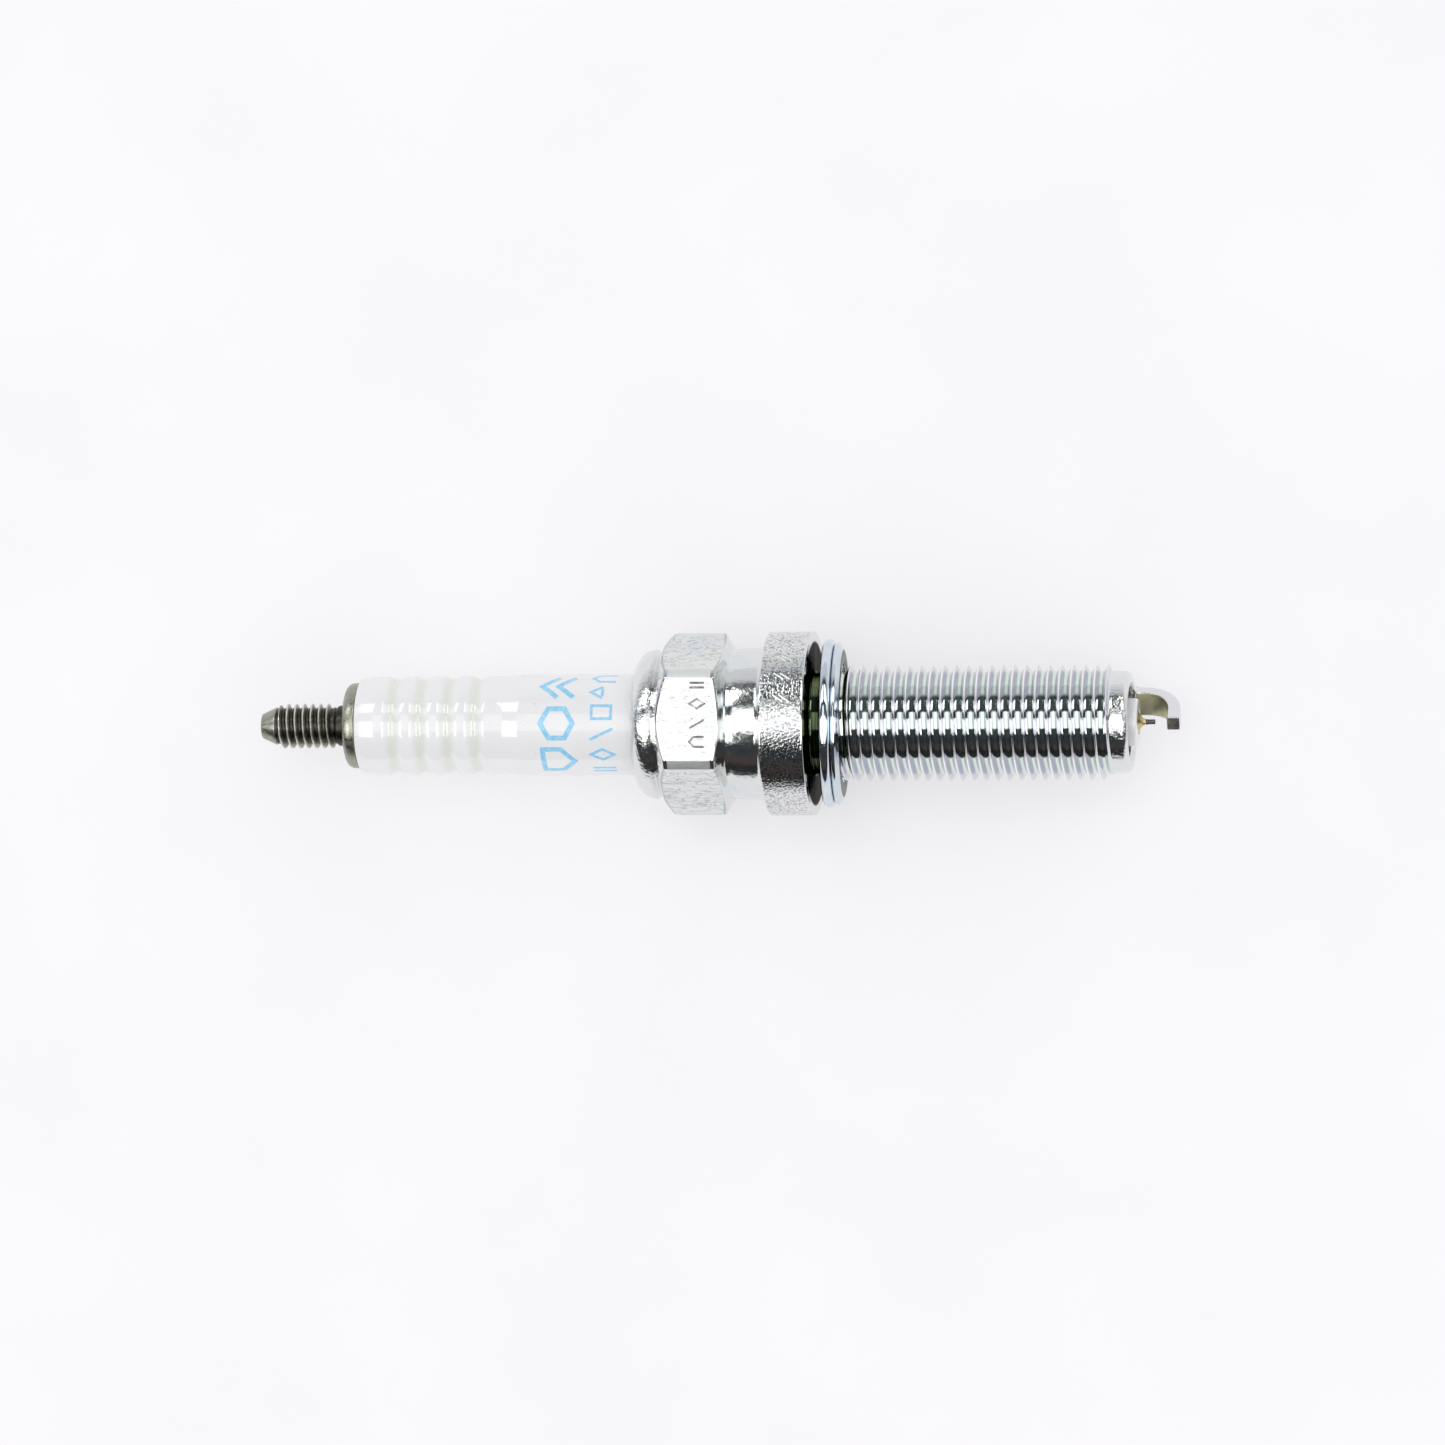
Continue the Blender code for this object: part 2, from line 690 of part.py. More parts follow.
def gasket_outline():
    """Section of the folded gasket: two rounded lobes outside and a flat seat in front."""
    lobe_across = BACK_LOBE_RADIUS - FOLD_RADIUS + SMALL_CHAMFER
    back_lobe = arc(
        BACK_LOBE_STATION,
        BACK_LOBE_RADIUS - lobe_across,
        BACK_LOBE_STATION - GASKET_BACK,
        lobe_across,
        40,
        180,
        6,
    )
    front_half = FRONT_LOBE_STATION - FOLD_STATION
    front_across = FRONT_LOBE_RADIUS - FOLD_RADIUS
    front_lobe = arc(FRONT_LOBE_STATION, FOLD_RADIUS, front_half, front_across, 60, 170, 4)
    return [
        (GASKET_FRONT, GASKET_INNER_RADIUS + SMALL_CHAMFER),
        (GASKET_FRONT, GASKET_SEAT_RADIUS),
        *front_lobe,
        (FOLD_STATION, FOLD_RADIUS - SMALL_CHAMFER / 2),
        *back_lobe,
        (GASKET_BACK, GASKET_INNER_RADIUS + CHAMFER),
        (GASKET_BACK + CHAMFER, GASKET_INNER_RADIUS),
        (GASKET_FRONT - SMALL_CHAMFER, GASKET_INNER_RADIUS),
    ]


def sealing_gasket(material):
    """Folded steel ring, with small claws bent inwards that keep it behind the thread."""
    middle = (GASKET_BACK + GASKET_FRONT) / 2
    outline = [(station - middle, radius) for station, radius in gasket_outline()]
    ring = turned("sealing_gasket", outline, closed=True, station=middle)
    for number in range(CLAW_COUNT):
        solid = bmesh.new()
        bmesh.ops.create_cube(solid, size=1.0)
        bmesh.ops.scale(solid, vec=CLAW_SIZE, verts=solid.verts)
        claw_place = (CLAW_RADIUS + CLAW_SIZE.x / 2, 0, CLAW_STATION - middle)
        bmesh.ops.translate(solid, vec=claw_place, verts=solid.verts)
        mesh = bpy.data.meshes.new("claw")
        solid.to_mesh(mesh)
        solid.free()
        spin = math.radians(30) + 2 * math.pi * number / CLAW_COUNT
        claw = add_object(f"claw_{number + 1}", mesh, middle, spin, CUTTERS)
        combine(ring, claw, "UNION")
    ring.rotation_euler = (0, GASKET_LEAN, 0)
    return shade(ring, material)


zinc_steel = new_material("zinc_plated_steel", (0.72, 0.73, 0.75), 0.22, 1.0)
dark_steel = new_material("dark_steel", (0.20, 0.19, 0.17), 0.38, 1.0)
glazed_alumina = new_material("glazed_alumina", (0.90, 0.90, 0.89), 0.08, 0.0)
nickel_alloy = new_material("nickel_alloy", (0.58, 0.55, 0.45), 0.28, 1.0)
seal_glass = new_material("seal_glass", (0.30, 0.22, 0.16), 0.35, 0.4)
carbon_glass = new_material("carbon_glass", (0.06, 0.06, 0.07), 0.60, 0.0)
copper = new_material("copper", (0.80, 0.42, 0.28), 0.25, 1.0)
iridium = new_material("iridium", (0.30, 0.29, 0.28), 0.30, 1.0)
talc = new_material("talc", (0.75, 0.74, 0.70), 0.90, 0.0)
packing_steel = new_material("packing_steel", (0.45, 0.45, 0.46), 0.40, 1.0)
gasket_steel = new_material("gasket_steel", (0.70, 0.73, 0.77), 0.25, 1.0)

metal_shell(zinc_steel)
ground_electrode(nickel_alloy)
insulator(glazed_alumina)
terminal_stud(dark_steel)
upper_glass_seal(seal_glass)
resistor(carbon_glass)
lower_glass_seal(seal_glass.copy())
center_electrode(nickel_alloy.copy())
copper_core(copper)
iridium_tip(iridium)
talc_filler(talc)
packing_ring("upper_packing_ring", UPPER_RING_STATION, packing_steel)
packing_ring("lower_packing_ring", LOWER_RING_STATION, packing_steel.copy())
seat_packing(packing_steel.copy())
sealing_gasket(gasket_steel)
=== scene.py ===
"""Looks of the long-reach spark plug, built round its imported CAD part.

The plug's axis runs along world X. Every piece is drawn with three plug measures: the station,
which is the distance in front of the datum plane, the radius, and the turn, which is the angle
round the axis from straight up towards +Y. An outline is a list of (station, radius) corners, and
a third value is the length that rounds that corner off. Every point of a mesh can carry a mark
from 0 to 1, which its material reads.
"""

import random
from math import ceil, cos, exp, floor, hypot, pi, radians, sin

import bmesh
import bpy
from mathutils import Matrix, Vector


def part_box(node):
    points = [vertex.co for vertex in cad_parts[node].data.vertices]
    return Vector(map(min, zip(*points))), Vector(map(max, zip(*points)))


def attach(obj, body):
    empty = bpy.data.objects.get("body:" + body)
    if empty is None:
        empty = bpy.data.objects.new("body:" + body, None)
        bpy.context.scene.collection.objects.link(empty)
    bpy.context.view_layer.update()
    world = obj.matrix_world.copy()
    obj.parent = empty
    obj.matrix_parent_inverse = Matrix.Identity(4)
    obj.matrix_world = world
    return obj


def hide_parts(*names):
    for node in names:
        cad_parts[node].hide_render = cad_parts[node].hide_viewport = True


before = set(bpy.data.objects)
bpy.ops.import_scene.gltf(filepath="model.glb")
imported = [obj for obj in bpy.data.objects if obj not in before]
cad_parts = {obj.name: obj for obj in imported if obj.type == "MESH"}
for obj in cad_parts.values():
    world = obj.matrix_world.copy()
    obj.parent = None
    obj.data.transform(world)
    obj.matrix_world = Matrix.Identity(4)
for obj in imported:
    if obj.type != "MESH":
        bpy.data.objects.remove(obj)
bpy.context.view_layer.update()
SCENE = bpy.context.scene
MM = 0.001

# Where the plug lies, and the sizes that the frame gives
THREAD_REACH = 26.75 * MM
SHELL_LOW, SHELL_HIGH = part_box("metal_shell")
DATUM_X = SHELL_HIGH.x - THREAD_REACH
AXIS_Y = (SHELL_LOW.y + SHELL_HIGH.y) / 2
AXIS_Z = (SHELL_LOW.z + SHELL_HIGH.z) / 2
FLANGE_RADIUS = (SHELL_HIGH.z - SHELL_LOW.z) / 2
SHELL_BACK = SHELL_LOW.x - DATUM_X


def reach(node):
    """The stations of a CAD node's back and front ends."""
    low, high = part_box(node)
    return low.x - DATUM_X, high.x - DATUM_X


TERMINAL_END, STUD_FRONT = reach("terminal_stud")
HEAD_END, INSULATOR_TIP = reach("insulator")
STRAP_BACK, STRAP_REACH = reach("ground_electrode")
ELECTRODE_TOP, ELECTRODE_TIP = reach("center_electrode")
IRIDIUM_BACK, IRIDIUM_END = reach("iridium_tip")
GASKET_LOW, GASKET_HIGH = reach("sealing_gasket")

# M10 x 1.0 mounting thread, with a crest facing +Y at crest_station. The profile of a turn is
# (share of the pitch behind the crest, share of its height).
ROOT_RADIUS = 4.34 * MM
THREAD_BACK = 1.9 * MM
THREAD_FRONT = 25.4 * MM
MOUNTING_THREAD = {
    "pitch": 1.0 * MM,
    "crest": 4.95 * MM,
    "root": ROOT_RADIUS,
    "crest_station": 2.81 * MM,
    "front": THREAD_FRONT,
    "back": THREAD_BACK,
    "run_out": 0.6 * MM,
    "profile": (
        (-0.05, 0.96), (0.0, 1.0), (0.05, 0.96), (0.13, 0.72), (0.24, 0.36), (0.33, 0.08),
        (0.39, 0.0), (0.61, 0.0), (0.67, 0.08), (0.76, 0.36), (0.87, 0.72),
    ),
}
NOSE_RADIUS = 4.32 * MM
RELIEF_RADIUS = 4.3 * MM

# Flange, neck and hexagon
FLANGE_FRONT = -0.3 * MM
FLANGE_BACK = -4.1 * MM
NECK_RADIUS = 6.475 * MM
FLAT_RADIUS = 6.9 * MM
CORNER_RADIUS = 7.744 * MM
FRONT_CORNER = -7.97 * MM
BACK_CORNER = -12.3 * MM
FRONT_SLOPE = 0.386
BACK_SLOPE = 0.76
FRONT_RING_RADIUS = 6.36 * MM
BACK_RING_RADIUS = 6.12 * MM
CRIMP_RADIUS = 6.4 * MM
CRIMP_START = -13.72 * MM
CRIMP_LIP_RADIUS = 4.62 * MM
LIP_UNDERSIDE = -14.9 * MM

# Shell bore
LARGE_BORE = 5.45 * MM
MIDDLE_BORE = 3.75 * MM
NOSE_BORE = 3.1 * MM
LARGE_BORE_END = -3.4 * MM
MIDDLE_BORE_START = -1.9 * MM
SEAT_START = 13.75 * MM
SEAT_SLOPE = 0.941

# Insulator
BARREL_RADIUS = 4.35 * MM
BARREL_END = -25.3 * MM
RIB_RADIUS = 4.25 * MM
GROOVE_DEPTH = 0.27 * MM
GROOVE_HALF_WIDTH = 0.92 * MM
GROOVE_STATIONS = [(-29.15 - 2.39 * number) * MM for number in range(4)]
HEAD_RADIUS = 4.0 * MM
WIDE_BORE = 1.65 * MM
NARROW_BORE = 1.05 * MM
BORE_STEP = 6.5 * MM

# Terminal stud, M4 x 0.7
COLLAR_FRONT = -39.66 * MM
COLLAR_BACK = -40.8 * MM
COLLAR_RADIUS = 3.665 * MM
STUD_NECK_RADIUS = 1.74 * MM
STUD_ROOT_RADIUS = 1.52 * MM
STUD_THREAD_BACK = -46.95 * MM
STUD_THREAD_FRONT = -41.8 * MM
STUD_THREAD = {
    "pitch": 0.7 * MM,
    "crest": 1.935 * MM,
    "root": STUD_ROOT_RADIUS,
    "crest_station": -46.04 * MM,
    "front": STUD_THREAD_FRONT,
    "back": STUD_THREAD_BACK,
    "run_out": 0.4 * MM,
    "profile": (
        (-0.07, 0.93), (0.0, 1.0), (0.07, 0.93), (0.16, 0.62), (0.29, 0.2), (0.38, 0.03),
        (0.5, 0.0), (0.62, 0.03), (0.71, 0.2), (0.84, 0.62),
    ),
}
STUD_TIP_RADIUS = 1.05 * MM
SHANK_RADIUS = 1.5 * MM
SHANK_END = -12.0 * MM
KNURL_RADIUS = 1.1 * MM

# Folded gasket, which leans with its upper side forward
GASKET_LEAN = radians(3.7)
GASKET_HALF = 0.85 * MM
GASKET_MIDDLE = (GASKET_LOW + GASKET_HIGH) / 2
CLAW_TURNS = (150, 30, -90)
CLAW_STATION = GASKET_MIDDLE - 0.3 * MM
CLAW_RADIUS = 5.05 * MM
CLAW_LENGTH = 0.35 * MM
CLAW_HEIGHT = 0.6 * MM
CLAW_WIDTH = 1.0 * MM
CLAW_ROUNDING = 0.1 * MM

# Electrodes
ELECTRODE_RADIUS = 0.95 * MM
ELECTRODE_TIP_RADIUS = 0.27 * MM
HEAD_STATION = 5.8 * MM
ELECTRODE_HEAD_RADIUS = 1.4 * MM
CORE_BORE = 0.6 * MM
CORE_BORE_END = 22.0 * MM
IRIDIUM_RADIUS = 0.22 * MM
STRAP_TURN = radians(148.5)
STRAP_RADIUS = 3.7 * MM
STRAP_WIDTH = 2.2 * MM
STRAP_TIP_WIDTH = 1.2 * MM
STRAP_THICKNESS = 1.05 * MM
STRAP_BEND_RADIUS = 2.7 * MM
STRAP_PAST_AXIS = 0.35 * MM
STRAP_ROUNDING = 0.11 * MM
WELD_FLARE = 0.16
WELD_FLARE_LENGTH = 0.16 * MM
BEAD_SEED = 7
BEAD_COUNT = 22
BEAD_SPREAD = 1.15
BEAD_RADII = (0.08, 0.19)

# Angles round the axis at which every turned piece of the shell has a column of points. The
# hexagon's rounded corners get more of them.
CORNER_OFFSETS = (-4, -3.5, -3, -2.5, -2, -1, 0, 1, 2, 2.5, 3, 3.5, 4)
FLAT_OFFSETS = tuple(range(6, 55, 3))
SHELL_TURNS = [
    radians(30 + 60 * side + offset)
    for side in range(6)
    for offset in CORNER_OFFSETS + FLAT_OFFSETS
]
SHELL_TURNS.append(SHELL_TURNS[0] + 2 * pi)

# Points nearer than this are merged, edges bent by more than this are sharp, and the bars that
# draw marks stop widening in corners where their directions' cosine falls below this
SAME_POINT = 0.0002 * MM
SHARP_ANGLE = radians(38)
MITRE_LIMIT = 0.4


def even_turns(count):
    """Angles of a full turn in equal steps, with the first one again at the end."""
    return [2 * pi * i / count for i in range(count + 1)]


def at(station, radius, turn):
    """World place of a point on the plug."""
    y = AXIS_Y + radius * sin(turn)
    return Vector((DATUM_X + station, y, AXIS_Z + radius * cos(turn)))


# ---- outlines and rows


def shares(steps):
    """Even shares from 0 to 1."""
    return [i / steps for i in range(steps + 1)]


def softened(outline, steps=3):
    """The outline's corners as points, where a corner with a rounding length becomes a curve."""
    points = []
    for i, corner in enumerate(outline):
        here = Vector(corner[:2])
        if len(corner) == 2:
            points.append(here)
            continue
        before = (Vector(outline[i - 1][:2]) - here).normalized() * corner[2]
        after = (Vector(outline[(i + 1) % len(outline)][:2]) - here).normalized() * corner[2]
        for share in shares(steps):
            points.append(here + before * (1 - share) ** 2 + after * share**2)
    return points


def arc(station, radius, along, across, start, end, count):
    """Corners on an ellipse about (station, radius), with angles in degrees from the +station
    direction towards +radius."""
    angles = [radians(start + (end - start) * i / count) for i in range(count + 1)]
    return [(station + along * cos(a), radius + across * sin(a)) for a in angles]


def plain_rows(outline, turns, mark=0.0, steps=3):
    """A row of (station, radius, mark) round the axis for each point of an outline."""
    return [[(p[0], p[1], mark)] * len(turns) for p in softened(outline, steps)]


def thread_rows(thread, turns):
    """Rows along a right-handed thread from its front to its back, with a mark of 1 on the crest.

    Each row is a helix held within the threaded stretch, and sinks to the root radius at both
    ends. A crest faces +Y, a quarter turn from the top, at crest_station."""
    pitch = thread["pitch"]
    front, back = thread["front"], thread["back"]
    profile = thread["profile"]
    most = ceil((front - thread["crest_station"]) / pitch) + 1
    least = floor((back - thread["crest_station"]) / pitch) - 1
    rows = []
    for number in range(most, least - 1, -1):
        for share, height in profile:
            row = []
            for turn in turns:
                lead = 0.25 - turn / (2 * pi)
                station = thread["crest_station"] + pitch * (number - share + lead)
                station = min(max(station, back), front)
                room = min(1.0, min(station - back, front - station) / thread["run_out"])
                height_here = height * room * room * (3 - 2 * room)
                radius = thread["root"] + (thread["crest"] - thread["root"]) * height_here
                row.append((station, radius, height_here))
            rows.append(row)
    return rows


def hexagon_radius(turn):
    """The hexagonal prism's surface, with its turned corners eased into the flats."""
    flat = FLAT_RADIUS / cos((turn + pi / 6) % (pi / 3) - pi / 6)
    blend = 0.03 * MM
    overlap = max(blend - abs(flat - CORNER_RADIUS), 0) / blend
    return min(flat, CORNER_RADIUS) - overlap**2 * blend / 4


def hexagon_rows(turns):
    """The hexagon from its front ring to its back ring, with softened edges on both chamfers. The
    mark is 1 along the middle of an edge."""
    soft = 0.2 * MM
    steps = 4

    def edge(corner_station, slope, towards_flat, share):
        row = []
        for turn in turns:
            radius = hexagon_radius(turn)
            station = corner_station + (CORNER_RADIUS - radius) * slope
            down_cone = Vector((slope, -1.0)) / hypot(slope, 1.0) * soft
            along_flat = Vector((towards_flat, 0.0)) * soft
            here = Vector((station, radius))
            point = here + down_cone * (1 - share) ** 2 + along_flat * share**2
            row.append((point.x, point.y, 1 - abs(2 * share - 1)))
        return row

    front = [edge(FRONT_CORNER, FRONT_SLOPE, -1.0, share) for share in shares(steps)]
    back = [edge(BACK_CORNER, -BACK_SLOPE, 1.0, 1 - share) for share in shares(steps)]
    return front + back


# ---- meshes


def new_object(name, solid):
    """Turns a finished bmesh into an object of the scene, with its faces turned outwards."""
    bmesh.ops.recalc_face_normals(solid, faces=solid.faces)
    mesh = bpy.data.meshes.new(name)
    solid.to_mesh(mesh)
    solid.free()
    obj = bpy.data.objects.new(name, mesh)
    SCENE.collection.objects.link(obj)
    return obj


def skin(name, rows, turns, closed=True):
    """A body whose surface runs through rows round the axis, with each point's mark on it. The
    last row joins the first if it is closed; otherwise both end on the axis."""
    solid = bmesh.new()
    marks = solid.verts.layers.float.new("mark")
    grid = []
    for row in rows:
        line = []
        for (station, radius, mark), turn in zip(row, turns):
            vertex = solid.verts.new(at(station, radius, turn))
            vertex[marks] = mark
            line.append(vertex)
        grid.append(line)
    if closed:
        grid.append(grid[0])
    for upper, lower in zip(grid, grid[1:]):
        for i in range(len(turns) - 1):
            solid.faces.new((upper[i], lower[i], lower[i + 1], upper[i + 1]))
    bmesh.ops.remove_doubles(solid, verts=solid.verts, dist=SAME_POINT)
    return new_object(name, solid)


def turned(name, outline, columns):
    """A solid body of revolution from an outline that starts and ends on the axis."""
    turns = even_turns(columns)
    return skin(name, plain_rows(outline, turns), turns, closed=False)


def add_tube(solid, rings):
    """Adds the faces between rings of points that each go once round."""
    for first, second in zip(rings, rings[1:]):
        for i in range(len(first)):
            following = (i + 1) % len(first)
            solid.faces.new((first[i], first[following], second[following], second[i]))


def finely(points, closed, step):
    """The line through the points, cut into stretches no longer than the step."""
    line = []
    ends = points[1:] + points[:1] if closed else points[1:]
    for start, end in zip(points, ends):
        count = max(1, ceil((end - start).length / step))
        line.extend(start.lerp(end, i / count) for i in range(count))
    if not closed:
        line.append(points[-1])
    return line


def add_stroke(solid, points, closed, place, width, low, high, taper=1.0):
    """Adds a bar of even width along a line on a surface, between two heights over it.
    place(point, height) gives world places. The taper is the width of the bar's low side, as a
    share of its width."""
    line = finely(points, closed, width)
    rings = []
    for i, point in enumerate(line):
        directions = []
        if closed or i > 0:
            directions.append((point - line[i - 1]).normalized())
        if closed or i < len(line) - 1:
            directions.append((line[(i + 1) % len(line)] - point).normalized())
        along = sum(directions, Vector((0, 0))).normalized()
        mitre = max(MITRE_LIMIT, along.dot(directions[0]))
        side = Vector((-along.y, along.x)) * width / 2 / mitre
        corners = ((side, high), (side * taper, low), (-side * taper, low), (-side, high))
        rings.append([solid.verts.new(place(point + across, over)) for across, over in corners])
    if closed:
        rings.append(rings[0])
    add_tube(solid, rings)
    if not closed:
        solid.faces.new(rings[0])
        solid.faces.new(rings[-1])


def on_cylinder(radius):
    """Places for strokes wrapped on a cylinder: a point is (station, length round it)."""
    return lambda point, height: at(point.x, radius + height, point.y / radius)


def on_top_flat(point, height):
    """Places for strokes on the hexagon's upper flat: a point is (station, distance across)."""
    return Vector((DATUM_X + point.x, AXIS_Y + point.y, AXIS_Z + FLAT_RADIUS + height))


def carve(target, cutter):
    """Takes the cutter's volume out of the target and removes the cutter."""
    boolean = target.modifiers.new("carve", "BOOLEAN")
    boolean.operation = "DIFFERENCE"
    boolean.solver = "MANIFOLD"
    boolean.object = cutter
    bpy.context.view_layer.update()
    graph = bpy.context.evaluated_depsgraph_get()
    carved = bpy.data.meshes.new_from_object(target.evaluated_get(graph))
    target.modifiers.clear()
    target.data = carved
    bpy.data.objects.remove(cutter, do_unlink=True)


def finish_piece(obj, material, node=None, body="plug"):
    """Shades a piece, gives it its material, ties it to its body and hides the CAD node it
    replaces.
    """
    mesh = obj.data
    mesh.materials.clear()
    mesh.materials.append(material)
    mesh.shade_smooth()
    mesh.set_sharp_from_angle(angle=SHARP_ANGLE)
    normals = obj.modifiers.new("normals", "WEIGHTED_NORMAL")
    normals.mode = "FACE_AREA"
    normals.keep_sharp = True
    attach(obj, body)
    if node:
        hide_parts(node)


# ---- generic marks

# Each line is (points, closed), unit-sized, as (along the axis, round it)
HOUSE = ([(0.5, 0.0), (0.1, 0.44), (-0.46, 0.44), (-0.46, -0.44), (0.1, -0.44)], True)
HEXAGON = (
    [(0.5, 0.0), (0.25, 0.45), (-0.25, 0.45), (-0.5, 0.0), (-0.25, -0.45), (0.25, -0.45)],
    True,
)
DIAMOND = ([(0.5, 0.0), (0.0, 0.4), (-0.5, 0.0), (0.0, -0.4)], True)
SQUARE = ([(0.42, 0.42), (-0.42, 0.42), (-0.42, -0.42), (0.42, -0.42)], True)
CUP = ([(0.5, 0.42), (-0.2, 0.42), (-0.5, 0.0), (-0.2, -0.42), (0.5, -0.42)], False)
LOWER_CHEVRON = ([(0.0, 0.45), (-0.5, 0.0), (0.0, -0.45)], False)
UPPER_CHEVRON = ([(0.5, 0.45), (0.0, 0.0), (0.5, -0.45)], False)
LEFT_BAR = ([(-0.5, -0.2), (0.5, -0.2)], False)
RIGHT_BAR = ([(-0.5, 0.2), (0.5, 0.2)], False)
DASH = ([(0.0, -0.3), (0.0, 0.3)], False)
SLASH = ([(-0.5, -0.35), (0.5, 0.35)], False)

# Rows of marks, each (mark, place round the plug in mm), and how each row is drawn: its station, a
# mark's size along and round the plug, and the bar that draws its lines
BOLD_MARKS = (((HOUSE,), -3.69), ((HEXAGON,), -0.15), ((LOWER_CHEVRON, UPPER_CHEVRON), 3.42))
THIN_MARKS = (
    ((LEFT_BAR, RIGHT_BAR), -4.9),
    ((DIAMOND,), -3.0),
    ((SLASH,), -1.1),
    ((SQUARE,), 0.8),
    ((LOWER_CHEVRON, DASH), 2.7),
    ((CUP,), 4.6),
)
PUNCHED_MARKS = (
    ((CUP,), -1.93),
    ((SLASH,), -0.42),
    ((DIAMOND,), 1.3),
    ((LEFT_BAR, RIGHT_BAR), 2.87),
)
INK = {"low": -0.02 * MM, "high": 0.012 * MM}
BOLD_ROW = {"station": -21.94 * MM, "size": (2.8 * MM, 2.8 * MM), "width": 0.43 * MM, **INK}
THIN_ROW = {"station": -18.08 * MM, "size": (2.0 * MM, 1.35 * MM), "width": 0.24 * MM, **INK}
PUNCH = {"width": 0.34 * MM, "low": -0.1 * MM, "high": 0.1 * MM, "taper": 0.1}
PUNCHED_ROW = {"station": -9.43 * MM, "size": (1.25 * MM, 1.0 * MM), **PUNCH}

# Pairs of slanted strokes cut in the flange, and the turns in degrees at which they are
ENGRAVER = {"width": 0.36 * MM, "low": -0.11 * MM, "high": 0.1 * MM, "taper": 0.1}
STROKE_TURNS = (12.5, 27.5, 42.0, 58.5)
STROKE_BACK = -2.62 * MM
STROKE_FRONT = -1.72 * MM
STROKE_SLANT = 0.32 * MM
STROKE_APART = 0.27 * MM


def add_row(solid, marks, place, station, size, **bar):
    """Adds a row of marks, each scaled and centred on its place on a surface."""
    for lines, across in marks:
        for points, closed in lines:
            line = [(station + x * size[0], across * MM + y * size[1]) for x, y in points]
            add_stroke(solid, [Vector(point) for point in line], closed, place, **bar)


def printed_marks(material):
    """Two rows of light blue shapes printed round the insulator's barrel."""
    solid = bmesh.new()
    for marks, row in ((BOLD_MARKS, BOLD_ROW), (THIN_MARKS, THIN_ROW)):
        add_row(solid, marks, on_cylinder(BARREL_RADIUS), **row)
    finish_piece(new_object("insulator_print", solid), material)


def punch_marks(shell):
    """Shallow punched shapes on the upper flat and slanted strokes on the flange."""
    punches = bmesh.new()
    add_row(punches, PUNCHED_MARKS, on_top_flat, **PUNCHED_ROW)
    carve(shell, new_object("punches", punches))

    strokes = bmesh.new()
    for turn in STROKE_TURNS:
        middle = radians(turn) * FLANGE_RADIUS
        for offset in (-STROKE_APART, STROKE_APART):
            start = Vector((STROKE_BACK + offset, middle + STROKE_SLANT))
            end = Vector((STROKE_FRONT + offset, middle - STROKE_SLANT))
            add_stroke(strokes, [start, end], False, on_cylinder(FLANGE_RADIUS), **ENGRAVER)
    carve(shell, new_object("strokes", strokes))


# ---- pieces


def metal_shell(material):
    """Threaded body, flange, crimp neck, hexagon and the collar rolled over the insulator."""
    nose = [
        (SEAT_START, MIDDLE_BORE),
        (SEAT_START + SEAT_SLOPE * (MIDDLE_BORE - NOSE_BORE), NOSE_BORE),
        (THREAD_REACH - 0.3 * MM, NOSE_BORE),
        (THREAD_REACH, NOSE_BORE + 0.3 * MM, 0.1 * MM),
        (THREAD_REACH, NOSE_RADIUS - 0.3 * MM, 0.08 * MM),
        (THREAD_REACH - 0.35 * MM, NOSE_RADIUS, 0.12 * MM),
        (THREAD_FRONT, ROOT_RADIUS),
    ]
    edge = 0.12 * MM
    flange = [
        (THREAD_BACK, ROOT_RADIUS),
        (FLANGE_FRONT, RELIEF_RADIUS, 0.25 * MM),
        (FLANGE_FRONT, FLANGE_RADIUS, edge),
        (FLANGE_BACK, FLANGE_RADIUS, edge),
        (FLANGE_BACK - 0.08 * MM, NECK_RADIUS + 0.35 * MM, 0.1 * MM),
        (FLANGE_BACK - 0.3 * MM, NECK_RADIUS, 0.2 * MM),
    ]
    neck = [
        (-5.3 * MM, NECK_RADIUS, 0.5 * MM),
        (-6.65 * MM, NECK_RADIUS - 0.06 * MM, 0.2 * MM),
        (-6.85 * MM, FRONT_RING_RADIUS, 0.1 * MM),
        (-7.2 * MM, FRONT_RING_RADIUS - 0.05 * MM, 0.12 * MM),
        (-7.36 * MM, FRONT_RING_RADIUS, 0.1 * MM),
    ]
    valley = [
        (BACK_CORNER - BACK_SLOPE * (CORNER_RADIUS - BACK_RING_RADIUS), BACK_RING_RADIUS, 0.1 * MM),
        (CRIMP_START + 0.06 * MM, CRIMP_RADIUS - 0.18 * MM, 0.06 * MM),
    ]
    long, high = CRIMP_START - SHELL_BACK, CRIMP_RADIUS - CRIMP_LIP_RADIUS
    dome = arc(CRIMP_START, CRIMP_LIP_RADIUS, long, high, 95, 176, 16)
    bore = [
        (SHELL_BACK, BARREL_RADIUS + 0.05 * MM, 0.08 * MM),
        (LIP_UNDERSIDE, BARREL_RADIUS + 0.05 * MM),
        (LIP_UNDERSIDE + 0.6 * MM, LARGE_BORE),
        (LARGE_BORE_END, LARGE_BORE),
        (MIDDLE_BORE_START, MIDDLE_BORE),
    ]
    rows = plain_rows(nose, SHELL_TURNS)
    rows += thread_rows(MOUNTING_THREAD, SHELL_TURNS)
    rows += plain_rows(flange + neck, SHELL_TURNS)
    rows += hexagon_rows(SHELL_TURNS)
    rows += plain_rows(valley + dome + bore, SHELL_TURNS)
    shell = skin("plug_shell", rows, SHELL_TURNS)
    punch_marks(shell)
    finish_piece(shell, material, "metal_shell")


